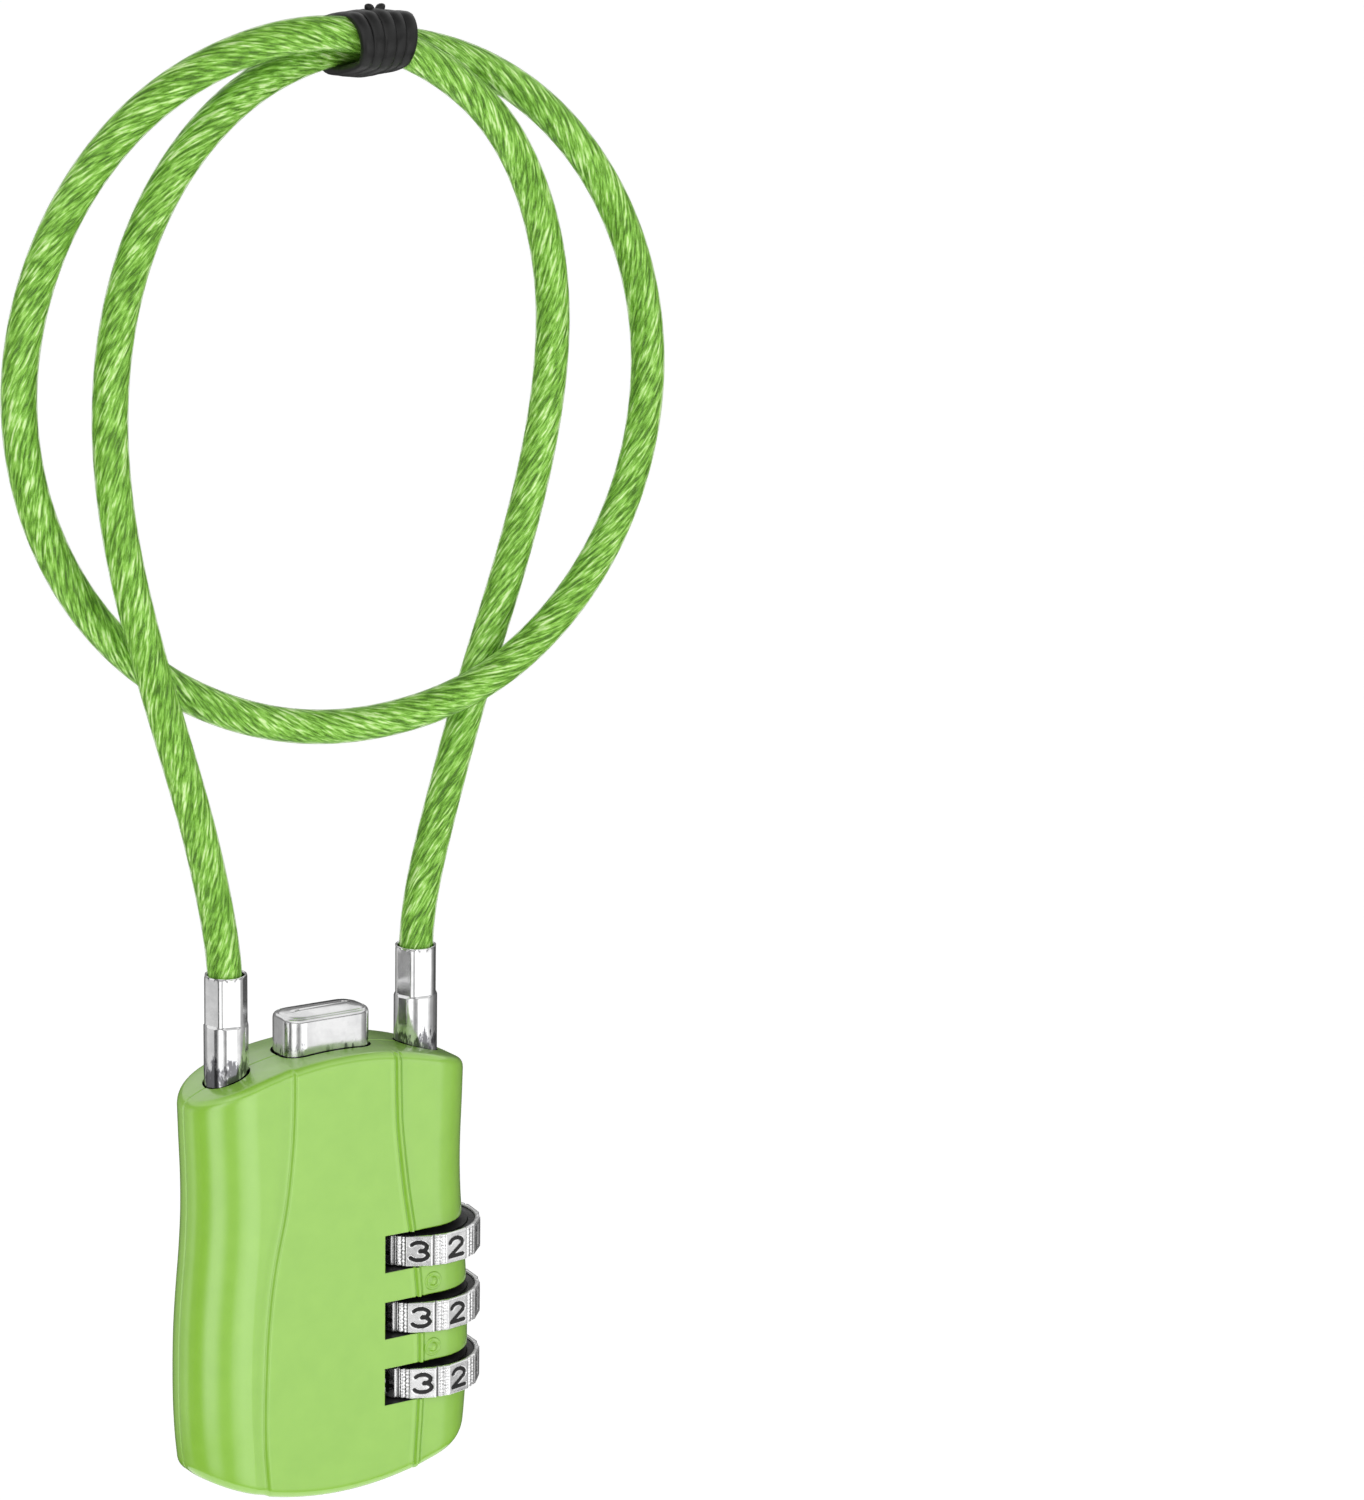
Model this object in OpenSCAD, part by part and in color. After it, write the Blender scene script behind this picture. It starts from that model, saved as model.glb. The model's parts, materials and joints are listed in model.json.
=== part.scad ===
// Luggage combination padlock with a coated steel cable, hanging from the top of its cable loop.
// Millimetres, +Z up, +X to the dial side, front face towards -Y.

/* [Case] */
// Half thickness of the case at its flanks
case_half_t = 5.3; // [5.2:0.05:5.4]
// How far the middle panel stands proud of the flanks
panel_rise = 0.35; // [0.25:0.05:0.45]
// Height of the arch at the middle of the top
arch_top = 3.9; // [3.7:0.1:4.1]
// Lowest point of the rounded bottom
base_low = -42.9; // [-43.2:0.1:-42.6]

/* [Dials] */
// Distance from a dial's axis to its flat plates
dial_flat = 6.75; // [6.6:0.05:6.8]
// Height of a dial
dial_h = 3.3; // [3.2:0.05:3.4]
// Distance between neighbouring dials
dial_pitch = 7.2; // [7.15:0.05:7.25]
// Turn of the upper dial
dial_turn_1 = -9; // [-9:1:9]
// Turn of the middle dial
dial_turn_2 = -7; // [-9:1:9]
// Turn of the lower dial
dial_turn_3 = -5; // [-9:1:9]

/* [Button] */
// Length of the release button
button_len = 9.9; // [9.6:0.1:10.2]
// Width of the release button
button_wide = 5.3; // [5:0.1:5.4]
// Height of the button's top above the case's reference level
button_top = 8; // [7.6:0.1:8.4]

/* [Cable] */
// Diameter of the clear plastic jacket
cable_d = 3.5; // [3.2:0.1:3.6]
// Diameter of the steel rope inside it
rope_d = 2.5; // [2:0.1:2.6]
// Height of the hanging point above the case's reference level
hang_h = 102; // [102:1:102]

/* [Hidden] */

$fn = 48;
eps = 0.01;

// case outline
arch_r = 36.9;
base_r = 35;
rim = 0.8;
// half width of the case at each height
side_w = [[6, 16.1], [0, 16.1], [-4, 15.95], [-8, 15.75], [-12, 15.75], [-16, 16], [-20, 16.4],
  [-24, 16.7], [-28, 16.8], [-32, 16.8], [-36, 16.6], [-40, 16.1], [-44, 15.2]];
// half width of the middle panel at each height
panel_w = [[6, 6.2], [0, 6.2], [-4, 6.3], [-8, 6.7], [-12, 7.2], [-16, 7.9], [-20, 8.4],
  [-24, 8.7], [-28, 8.8], [-32, 8.9], [-36, 9.1], [-40, 9.2], [-44, 9.2]];
// cross section of one side: distance from the middle plane, thickness there
round_side = [[12.4, 0], [14, 0.2], [15.2, 0.7], [16, 1.5], [16.5, 2.5], [16.8, 3.9]];
seam_gap = 0.12;
seam_depth = 0.16;

// sockets and ferrules
ferrule_x = 11.1;
ferrule_r = 2.25;
ferrule_seat = 0.8;
ferrule_low = 3.3;
ferrule_step = 7.7;
ferrule_top = 12.85;
crimp_r = 2.28;
cable_bore = 1.85;
cable_bore_low = 7;
spigot_r = 1.2;
pin_r = 1.5;
pin_low = -8.4;
groove_r = 1;

// button train
button_x = -0.15;
button_r = 2;
travel = 2.5;
flange_low = -0.8;
flange_high = 1.2;
chamber = [[-7.2, -3.3, -16], [6.8, 3.3, 1.5]];
arm_low = -8;
arm_high = -5.8;
peg = [-4.2, -5.2];
peg_r = 0.7;

// dial column
dial_x = ferrule_x;
dial_z = -25.3;
dial_gap = 0.15;
// extra height of a window over its dial
headroom = 0.4;
window_x = 4.25;
pocket_r = 7.3;
sleeve_r = 3.2;
sleeve_h = 5.2;
core_r = 5.5;
core_h = 2.8;
lip_r = 1.72;
chamber_r = 2.35;
spindle_r = 1.5;
spindle_low = -37;
lug_r = 2.15;
spacer_r = 3;
spacer_bore = 1.62;
plate_w = 3.25;

// rivets: across, height
rivets = [[-10.6, -13.4], [8, -12.1], [-9, -39.3], [5.5, -38.8]];
rivet_r = 0.9;
rivet_head_r = 1.5;

function dial_level(i) = dial_z + (1 - i) * dial_pitch;
function dial_turn(i) = [dial_turn_1, dial_turn_2, dial_turn_3][i];
function half(list, s, d) = [for (p = list) [s * (p[1] - d), p[0]]];
function flip(list) = [for (i = [len(list) - 1 : -1 : 0]) list[i]];

// route of the cable from the free ferrule round the coil to the captive ferrule
route = [
  [-11.1, 0, 7.3], [-11.1, 0, 12], [-12.3, -0.6, 18.7], [-15.1, -1.8, 28.6], [-18.4, -2.7, 38.3],
  [-21.5, -3, 48.2], [-23.9, -3, 58.3], [-24.9, -2.8, 68.5], [-23.9, -2.5, 78.8],
  [-20.3, -1.8, 88.5], [-14, -0.7, 96.5], [-5.4, 1, 102], [4.5, 2, 104.6], [14.7, 2, 103.7],
  [24.1, 1.4, 99.5], [31.5, 0.6, 92.4], [36.4, 0, 83.3], [38.5, -0.3, 73.2], [37.6, -0.4, 63],
  [33.8, -0.4, 53.4], [27.3, -0.4, 45.4], [18.7, -0.3, 39.7], [8.8, 0.2, 37], [-1.5, 0.9, 37],
  [-11.4, 1.4, 40], [-20.1, 1.7, 45.5], [-26.8, 1.8, 53.3], [-31, 1.8, 62.8], [-32.2, 1.8, 73],
  [-30.3, 1.6, 83.1], [-25.7, 1.1, 92.3], [-18.7, 0, 99.9], [-9.7, -1.4, 104.7], [0.4, -2, 106.2],
  [10.3, -2, 103.4], [18.7, -1.5, 97.5], [24.5, -0.2, 89.1], [27.8, 1.4, 79.4], [28.5, 2.9, 69.2],
  [27, 3.7, 59], [24.1, 3.9, 49.1], [20.3, 3.4, 39.5], [16.5, 2.3, 29.9], [12.9, 1, 20.3],
  [11.4, 0.2, 15.4], [11.1, 0, 12], [11.1, 0, 7.3]];

// the two strands inside the tie: depth, height
tie_a = [-2, 105.3];
tie_b = [2, 104.65];
tie_x = 5.2;
tie_wraps = 4;
tie_pitch = 1.9;
tie_wide = 1.5;

function unit(v) = v / norm(v);
function tangent(p, i) = unit(p[min(i + 1, len(p) - 1)] - p[max(i - 1, 0)]);
function side(t) = unit([0, 1, 0] - t * t[1]);
function ring(p, i, r, n) =
  let (t = tangent(p, i), u = side(t), v = cross(t, u))
  [for (k = [0 : n - 1]) p[i] + r * (cos(360 * (k + 0.5) / n) * u + sin(360 * (k + 0.5) / n) * v)];
function between(p, i, s) =
  let (a = p[max(i - 1, 0)], b = p[i], c = p[i + 1], d = p[min(i + 2, len(p) - 1)])
  0.5 * (2 * b + (c - a) * s + (2 * a - 5 * b + 4 * c - d) * s * s + (3 * b - a - 3 * c + d) * s * s * s);
function smooth(p, m) =
  concat([for (i = [0 : len(p) - 2]) for (k = [0 : m - 1]) between(p, i, k / m)], [p[len(p) - 1]]);

// a solid tube along a list of points
module tube(p, r, n) {
  rings = len(p);
  points = [for (i = [0 : rings - 1]) each ring(p, i, r, n)];
  walls = [for (i = [0 : rings - 2]) for (k = [0 : n - 1])
    let (a = i * n + k, b = i * n + (k + 1) % n)
    [a, b, b + n, a + n]];
  polyhedron(points, concat([[for (k = [n - 1 : -1 : 0]) k]], walls,
    [[for (k = [0 : n - 1]) (rings - 1) * n + k]]));
}

// a tube with a hole along it
module pipe(p, r, bore, n) {
  rings = len(p);
  outer = rings * n;
  points = concat([for (i = [0 : rings - 1]) each ring(p, i, r, n)],
    [for (i = [0 : rings - 1]) each ring(p, i, bore, n)]);
  walls = [for (i = [0 : rings - 2]) for (k = [0 : n - 1])
    let (a = i * n + k, b = i * n + (k + 1) % n)
    [a, b, b + n, a + n]];
  inner = [for (i = [0 : rings - 2]) for (k = [0 : n - 1])
    let (a = outer + i * n + k, b = outer + i * n + (k + 1) % n)
    [a, a + n, b + n, b]];
  last = (rings - 1) * n;
  ends = [for (k = [0 : n - 1])
    let (m = (k + 1) % n)
    [m, k, outer + k, outer + m]];
  tips = [for (k = [0 : n - 1])
    let (m = (k + 1) % n)
    [last + k, last + m, outer + last + m, outer + last + k]];
  polyhedron(points, concat(walls, inner, ends, tips));
}

module hang() translate([0, 0, -hang_h]) children();
module block(a, b) translate(a) cube(b - a);
module column(x, low, high, r) translate([x, 0, low]) cylinder(h = high - low, r = r);
module across(x, z, low, high, r) translate([x, high, z]) rotate([90, 0, 0]) cylinder(h = high - low, r = r);

// a disc across the case with broken rims, for the arched top and bottom
module rim_disc(r, t) {
  rotate([90, 0, 0])
    rotate_extrude($fn = 180)
      polygon([[0, -t], [r - rim, -t], [r - rim * 0.3, -t + rim * 0.3], [r, -t + rim],
        [r, t - rim], [r - rim * 0.3, t - rim * 0.3], [r - rim, t], [0, t]]);
}

module arches(t, d) {
  intersection() {
    translate([0, 0, arch_top - arch_r]) rim_disc(arch_r - d, t);
    translate([0, 0, base_low + base_r]) rim_disc(base_r - d, t);
  }
}

module outline(list, d, t) {
  rotate([90, 0, 0])
    linear_extrude(height = 2 * t, center = true)
      polygon(concat(half(list, 1, d), flip(half(list, -1, d))));
}

module cross_section(d) {
  q = concat([for (p = round_side) [p[0] - d, case_half_t - p[1]]],
    [for (p = flip(round_side)) [p[0] - d, p[1] - case_half_t]]);
  translate([0, 0, -50])
    linear_extrude(height = 60)
      polygon(concat(q, [for (p = flip(q)) [-p[0], p[1]]]));
}

module blank(d = 0) {
  union() {
    intersection() {
      arches(case_half_t, d);
      outline(side_w, d, case_half_t + 1);
      cross_section(d);
    }
    if (d == 0)
      intersection() {
        arches(case_half_t + panel_rise, 0);
        outline(panel_w, 0, case_half_t + 1);
      }
  }
}

module button_prism(grow, low, high) {
  l = button_len / 2 + grow;
  w = button_wide / 2 + grow;
  r = button_r;
  translate([button_x, 0, low])
    linear_extrude(height = high - low)
      union() {
        square([2 * (l - r), 2 * w], center = true);
        square([2 * l, 2 * (w - r)], center = true);
        for (sx = [-1, 1], sy = [-1, 1])
          translate([sx * (l - r), sy * (w - r)]) circle(r = r);
      }
}

// everything that the two shells leave free
module pockets() {
  button_prism(0.25, 1, 9);
  block(chamber[0], chamber[1]);
  // arm and spindle
  block([6, -2.5, -11], [dial_x, 2.5, -5.4]);
  column(dial_x, -11, -5.4, 2.5);
  column(dial_x, -39.7, -5.4, 1.75);
  // latch bolt
  block([-9.9, -1.9, -6.2], [-7, 1.9, -4.4]);
  block([-8.8, -2.6, -9.5], [-7, -0.6, -3.4]);
  // free side
  column(-ferrule_x, ferrule_seat, 6, ferrule_r + 0.15);
  column(-ferrule_x, -9, ferrule_seat + eps, pin_r + 0.1);
  // captive side
  column(ferrule_x, ferrule_seat, 6, ferrule_r);
  column(ferrule_x, -4.3, ferrule_seat + eps, spigot_r);
  column(ferrule_x, -4.3, -1.9, 2.4);
  // dials
  for (i = [0 : 2]) {
    low = dial_level(i) - dial_h / 2 - dial_gap;
    high = dial_level(i) + dial_h / 2 + dial_gap + headroom;
    column(dial_x, low, high, pocket_r);
    block([window_x, -9, low], [22, 9, high]);
    column(dial_x, dial_level(i) - sleeve_h / 2 - 0.15, dial_level(i) + sleeve_h / 2 + 0.15, sleeve_r + 0.3);
  }
  column(dial_x, dial_level(2) - 4.5, dial_level(0) + 4.75, spacer_r);
  // click spring and the hollow left of it
  block([2.3, -1.4, -35.2], [5, 1.4, -15.9]);
  block([-13.2, -3.6, -36.8], [2.4, 3.6, -18]);
  for (p = rivets) {
    across(p[0], p[1], -3.7, 4.4, rivet_r);
    across(p[0], p[1], 4.3, 7, rivet_head_r + 0.05);
  }
}

module seam() {
  difference() {
    block([-20, -seam_gap, -50], [20, seam_gap, 10]);
    blank(seam_depth);
  }
}

module half_case(s) {
  difference() {
    intersection() {
      blank();
      block([-25, s < 0 ? -9 : 0, -50], [25, s < 0 ? 0 : 9, 10]);
    }
    pockets();
    seam();
  }
}

module front_shell() {
  color([0.52, 0.78, 0.28]) hang() union() {
    half_case(-1);
    // two raised reading marks between the dials
    for (z = [dial_level(0) - dial_pitch / 2, dial_level(1) - dial_pitch / 2]) {
      across(10.65, z, -case_half_t - 0.15, -case_half_t + 0.5, 0.85);
      translate([10.65, -case_half_t - 0.05, z]) sphere(r = 0.45);
    }
  }
}

module rear_shell() {
  color([0.52, 0.78, 0.28]) hang() half_case(1);
}

module rivet(i) {
  color([0.6, 0.6, 0.62]) hang() union() {
    across(rivets[i][0], rivets[i][1], -3.6, 4.4, rivet_r);
    across(rivets[i][0], rivets[i][1], 4.4, 5.2, rivet_head_r);
  }
}

module case_rivet_1() { rivet(0); }
module case_rivet_2() { rivet(1); }
module case_rivet_3() { rivet(2); }
module case_rivet_4() { rivet(3); }

module guide_plate() {
  color([0.7, 0.7, 0.72]) hang() block([-7.2, 1.2, -8.2], [6.8, 2, -3.7]);
}

// crimped sleeve on a cable end
module ferrule(x) {
  difference() {
    union() {
      column(x, ferrule_seat, ferrule_low, ferrule_r - 0.25);
      column(x, ferrule_low - eps, ferrule_step, ferrule_r);
      translate([x, 0, ferrule_step - eps]) rotate([0, 0, 22.5])
        cylinder(h = ferrule_top - ferrule_step - 0.2 + eps, r = crimp_r, $fn = 8);
      column(x, ferrule_top - 0.5, ferrule_top, crimp_r - 0.2);
    }
    column(x, cable_bore_low, ferrule_top + 1, cable_bore);
    column(x, 0, 3.8, spigot_r);
  }
}

module captive_ferrule() {
  color([0.82, 0.83, 0.85]) hang() ferrule(ferrule_x);
}

module anchor_pin() {
  color([0.72, 0.72, 0.74]) hang() difference() {
    column(ferrule_x, -3.9, 3.7, spigot_r);
    difference() {
      column(ferrule_x, -3.1, -2.5, 2);
      column(ferrule_x, -3.2, -2.4, 0.9);
    }
  }
}

module anchor_clip() {
  color([0.35, 0.35, 0.37]) hang() difference() {
    column(ferrule_x, -3.08, -2.52, 2.1);
    column(ferrule_x, -4, -2, 0.9);
    block([ferrule_x - 0.8, 0, -4], [ferrule_x + 0.8, 3, -2]);
  }
}

module free_ferrule() {
  color([0.82, 0.83, 0.85]) hang() ferrule(-ferrule_x);
}

module locking_pin() {
  color([0.75, 0.75, 0.77]) hang() difference() {
    union() {
      column(-ferrule_x, ferrule_seat, 3.7, spigot_r);
      column(-ferrule_x, pin_low + 0.5, ferrule_seat, pin_r);
      translate([-ferrule_x, 0, pin_low]) cylinder(h = 0.5, r1 = 1, r2 = pin_r);
    }
    difference() {
      column(-ferrule_x, -6.2, -4.4, 2);
      column(-ferrule_x, -6.3, -4.3, groove_r);
    }
  }
}

module release_button() {
  color([0.82, 0.83, 0.85]) hang() union() {
    button_prism(0, flange_high - eps, button_top - 0.6);
    button_prism(-0.15, button_top - 0.7, button_top - 0.25);
    button_prism(-0.45, button_top - 0.3, button_top);
    block([-6.6, -3, flange_low], [6, 3, flange_high]);
  }
}

module slider_plate() {
  color([0.68, 0.68, 0.7]) hang() difference() {
    union() {
      block([-5, -0.6, -8.6], [5, 0.8, flange_low]);
      block([4, -0.9, arm_low], [dial_x, 0.8, arm_high]);
      column(dial_x, arm_low, arm_high, 2.2);
      across(peg[0], peg[1], -2.3, 0, peg_r);
    }
    column(dial_x, arm_low - 1, arm_high + 1, spindle_r);
  }
}

module spindle() {
  color([0.6, 0.6, 0.62]) hang() union() {
    column(dial_x, spindle_low, arm_high, spindle_r);
    for (i = [0 : 2])
      block([dial_x, -0.55, dial_level(i) + 0.75], [dial_x + lug_r, 0.55, dial_level(i) + 1.75]);
  }
}

module button_spring() {
  turns = 6;
  low = -15.7;
  high = -8.9;
  coil = [for (k = [0 : turns * 12])
    [1.5 * cos(30 * k), 1.5 * sin(30 * k), low + (high - low) * k / (turns * 12)]];
  color([0.55, 0.56, 0.6]) hang() spring_wire(coil, 0.22, 6);
}

// wire of an upright coil spring
module spring_wire(p, r, n) {
  rings = len(p);
  points = [for (i = [0 : rings - 1])
    let (o = unit([p[i][0], p[i][1], 0]))
    each [for (k = [0 : n - 1]) p[i] + r * (cos(360 * k / n) * o + sin(360 * k / n) * [0, 0, 1])]];
  walls = [for (i = [0 : rings - 2]) for (k = [0 : n - 1])
    let (a = i * n + k, b = i * n + (k + 1) % n)
    [b, a, a + n, b + n]];
  polyhedron(points, concat([[for (k = [0 : n - 1]) k]], walls,
    [[for (k = [n - 1 : -1 : 0]) (rings - 1) * n + k]]));
}

module latch_bolt() {
  reach = travel;
  color([0.65, 0.65, 0.67]) hang() difference() {
    union() {
      block([-9.45, -1.6, -5.9], [-8.4, 1.05, -4.7]);
      block([-8.7, -2.3, -5.9], [-7.5, -0.9, -4.7]);
      block([-8.2, -2.3, -9.2], [-2.7, -0.9, -3.7]);
    }
    across(peg[0], peg[1], -3, 0, peg_r + 0.1);
    across(peg[0] - reach, peg[1] - reach, -3, 0, peg_r + 0.1);
    translate([peg[0], -1.5, peg[1]]) rotate([0, -45, 0])
      block([-reach * sqrt(2), -1.5, -peg_r - 0.08], [0, 1.5, peg_r + 0.08]);
  }
}

module click_spring() {
  color([0.5, 0.5, 0.53]) hang() union() {
    block([2.45, -1.1, -35], [2.75, 1.1, -16.1]);
    for (i = [0 : 2])
      intersection() {
        translate([2.75, 0, dial_level(i) - 1]) cylinder(h = 2, r = 0.95);
        block([2.6, -1.1, dial_level(i) - 2], [5, 1.1, dial_level(i) + 2]);
      }
  }
}

// number ring: ten flat plates with a ribbed strip between each pair
module dial_slice(inset, high) {
  linear_extrude(height = high, center = true)
    difference() {
      union() {
        circle(r = dial_flat - 0.15 - inset);
        for (k = [0 : 9]) rotate([0, 0, 36 * k]) {
          translate([dial_flat - inset - 0.25, 0]) square([0.5, plate_w], center = true);
          rotate([0, 0, 18]) translate([dial_flat - inset - 0.3, 0]) square([0.5, 0.3], center = true);
        }
      }
      circle(r = core_r);
    }
}

module dial(i) {
  color([0.8, 0.8, 0.82]) hang() translate([dial_x, 0, dial_level(i)]) rotate([0, 0, dial_turn(i)])
    union() {
      dial_slice(0.2, dial_h);
      dial_slice(0, dial_h - 0.5);
    }
}

module dial_1() { dial(0); }
module dial_2() { dial(1); }
module dial_3() { dial(2); }

// code sleeve inside a number ring, with the gate for the spindle's lug
module dial_core(i) {
  color([0.06, 0.06, 0.06]) hang() translate([dial_x, 0, dial_level(i)]) rotate([0, 0, dial_turn(i)])
    difference() {
      union() {
        cylinder(h = core_h, r = core_r, center = true);
        cylinder(h = sleeve_h, r = sleeve_r, center = true);
      }
      cylinder(h = sleeve_h + 1, r = lip_r, center = true);
      translate([0, 0, -2.15]) cylinder(h = 4.2, r = chamber_r);
      block([0, -0.7, -4], [chamber_r, 0.7, 4]);
    }
}

module dial_core_1() { dial_core(0); }
module dial_core_2() { dial_core(1); }
module dial_core_3() { dial_core(2); }

module spacer(low, high) {
  color([0.72, 0.58, 0.3]) hang() difference() {
    column(dial_x, low, high, spacer_r);
    column(dial_x, low - 1, high + 1, spacer_bore);
    block([dial_x, -0.7, low - 1], [dial_x + 2.4, 0.7, high + 1]);
  }
}

module spacer_top() { spacer(dial_level(0) + 2.8, dial_level(0) + 4.7); }
module spacer_upper() { spacer(dial_level(1) + dial_pitch / 2 - 0.75, dial_level(1) + dial_pitch / 2 + 0.75); }
module spacer_lower() { spacer(dial_level(1) - dial_pitch / 2 - 0.75, dial_level(1) - dial_pitch / 2 + 0.75); }
module spacer_bottom() { spacer(dial_level(2) - 4.45, dial_level(2) - 2.8); }

module cable_jacket() {
  color([0.45, 0.85, 0.3, 0.6]) hang() pipe(smooth(route, 2), cable_d / 2, rope_d / 2 + 0.05, 10);
}

module steel_rope() {
  color([0.6, 0.7, 0.55]) hang() tube(smooth(route, 2), rope_d / 2, 10);
}

// a flat loop round both strands
module tie_loop(x, grow, wide) {
  a = atan2(tie_b[1] - tie_a[1], tie_b[0] - tie_a[0]);
  l = norm(tie_b - tie_a);
  r = cable_d / 2 + grow;
  translate([x - wide / 2, tie_a[0], tie_a[1]]) rotate([a, 0, 0])
    union() {
      rotate([0, 90, 0]) cylinder(h = wide, r = r);
      translate([0, l, 0]) rotate([0, 90, 0]) cylinder(h = wide, r = r);
      block([0, 0, -r], [wide, l, r]);
    }
}

module cable_tie() {
  color([0.03, 0.03, 0.03]) hang() difference() {
    union() {
      for (k = [0 : tie_wraps - 1]) {
        x = tie_x + (k - (tie_wraps - 1) / 2) * tie_pitch;
        tie_loop(x, 1.35, tie_wide);
      }
      tie_loop(tie_x, 1.1, tie_pitch * (tie_wraps - 1));
      translate([tie_x + 0.6, -1.2, 107.7]) rotate([0, 8, 0]) cylinder(h = 1.6, r = 0.75);
    }
    tie_loop(tie_x, 0.4, 12);
    translate([tie_x, tie_a[0], tie_a[1]]) rotate([0, 102, 0]) translate([0, 0, -6])
      cylinder(h = 12, r = cable_d / 2 + 0.3);
  }
}

front_shell();
rear_shell();
case_rivet_1();
case_rivet_2();
case_rivet_3();
case_rivet_4();
guide_plate();
captive_ferrule();
anchor_pin();
anchor_clip();
free_ferrule();
locking_pin();
release_button();
slider_plate();
spindle();
button_spring();
latch_bolt();
click_spring();
dial_1();
dial_2();
dial_3();
dial_core_1();
dial_core_2();
dial_core_3();
spacer_top();
spacer_upper();
spacer_lower();
spacer_bottom();
cable_jacket();
steel_rope();
cable_tie();
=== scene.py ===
"""Luggage combination padlock with its coiled, coated cable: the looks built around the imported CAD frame."""
import json
import math

import bmesh
import bpy
import numpy as np
from mathutils import Matrix, Vector

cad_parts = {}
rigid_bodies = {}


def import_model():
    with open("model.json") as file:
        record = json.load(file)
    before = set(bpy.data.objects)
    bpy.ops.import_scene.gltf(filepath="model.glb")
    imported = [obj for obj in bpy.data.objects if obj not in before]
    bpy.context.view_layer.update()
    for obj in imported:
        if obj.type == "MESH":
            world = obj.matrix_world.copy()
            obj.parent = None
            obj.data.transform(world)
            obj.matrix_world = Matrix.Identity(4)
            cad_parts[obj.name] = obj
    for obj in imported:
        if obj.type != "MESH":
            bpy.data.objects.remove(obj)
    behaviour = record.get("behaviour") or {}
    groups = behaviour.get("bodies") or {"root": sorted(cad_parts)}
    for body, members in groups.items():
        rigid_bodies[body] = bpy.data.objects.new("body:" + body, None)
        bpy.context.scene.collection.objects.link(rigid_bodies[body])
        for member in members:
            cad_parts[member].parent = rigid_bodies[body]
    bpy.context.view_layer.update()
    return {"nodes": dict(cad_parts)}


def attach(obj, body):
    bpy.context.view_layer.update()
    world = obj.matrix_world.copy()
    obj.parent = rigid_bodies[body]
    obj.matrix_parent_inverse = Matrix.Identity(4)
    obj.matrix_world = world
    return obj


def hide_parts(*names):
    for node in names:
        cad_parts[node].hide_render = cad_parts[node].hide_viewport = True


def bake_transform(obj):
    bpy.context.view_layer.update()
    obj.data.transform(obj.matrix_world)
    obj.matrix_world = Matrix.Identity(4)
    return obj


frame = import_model()
NODES = frame["nodes"]
SCENE = bpy.context.scene
TAU = 2 * math.pi
HANG = 102.0  # the hanging point above the case's reference level, mm


# ---------------- mesh helpers
def metres(points):
    """Millimetres from the case's reference level to the frame's metres."""
    return (np.asarray(points, float).reshape(-1, 3) - [0, 0, HANG]) * 0.001


def add_mesh(name, points, faces, look, angle=30, fields=None, convert=True):
    """A mesh object from points in mm from the case's reference level, or taken as they are."""
    mesh = bpy.data.meshes.new(name)
    co = metres(points) if convert else np.asarray(points, float)
    mesh.from_pydata([tuple(p) for p in co], [], [tuple(int(i) for i in f) for f in faces])
    for key, values in (fields or {}).items():
        attribute = mesh.attributes.new(key, "FLOAT", "POINT")
        attribute.data.foreach_set("value", np.asarray(values, np.float32).ravel())
    obj = bpy.data.objects.new(name, mesh)
    SCENE.collection.objects.link(obj)
    mesh.materials.append(look)
    finish_mesh(mesh, angle)
    return obj


def finish_mesh(mesh, angle):
    """Normals outwards, smooth shading with edges kept sharp from an angle in degrees on."""
    bm = bmesh.new()
    bm.from_mesh(mesh)
    bmesh.ops.recalc_face_normals(bm, faces=bm.faces)
    bm.to_mesh(mesh)
    bm.free()
    mesh.polygons.foreach_set("use_smooth", [True] * len(mesh.polygons))
    mesh.set_sharp_from_angle(angle=math.radians(angle))
    mesh.update()


def grid_faces(rows, cols, wrap=False):
    out = []
    for r in range(rows - 1):
        for c in range(cols if wrap else cols - 1):
            a, b = r * cols + c, r * cols + (c + 1) % cols
            out.append((a, b, b + cols, a + cols))
    return out


def capped_faces(rows, around):
    """Faces of rings of points, with one cap at each end."""
    last = (rows - 1) * around
    return grid_faces(rows, around, True) + [tuple(range(around))[::-1], tuple(range(last, last + around))]


def closed_faces(rows, around):
    """Faces of rings of points, the last one joined to the first."""
    last = (rows - 1) * around
    return grid_faces(rows, around, True) + [
        (k, last + k, last + (k + 1) % around, (k + 1) % around) for k in range(around)]


def merged(parts):
    """Points and faces of several closed parts as one list of each."""
    points, faces = [], []
    for p, f in parts:
        faces += [tuple(i + len(points) for i in q) for q in f]
        points += list(p)
    return points, faces


def circle(r, n, cx=0, cy=0, turn=0):
    turns = [TAU * k / n + turn for k in range(n)]
    return [(cx + r * math.cos(a), cy + r * math.sin(a)) for a in turns]


def lathe(profile, around):
    """Points and faces of a closed profile of (radius, height) turned about Z."""
    pts = [(x, y, z) for r, z in profile for x, y in circle(r, around)]
    return np.array(pts), closed_faces(len(profile), around)


def smooth(t):
    t = np.clip(t, 0, 1)
    return t * t * (3 - 2 * t)


def bell(x, width):
    return np.exp(-0.5 * (x / width) ** 2)


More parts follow.
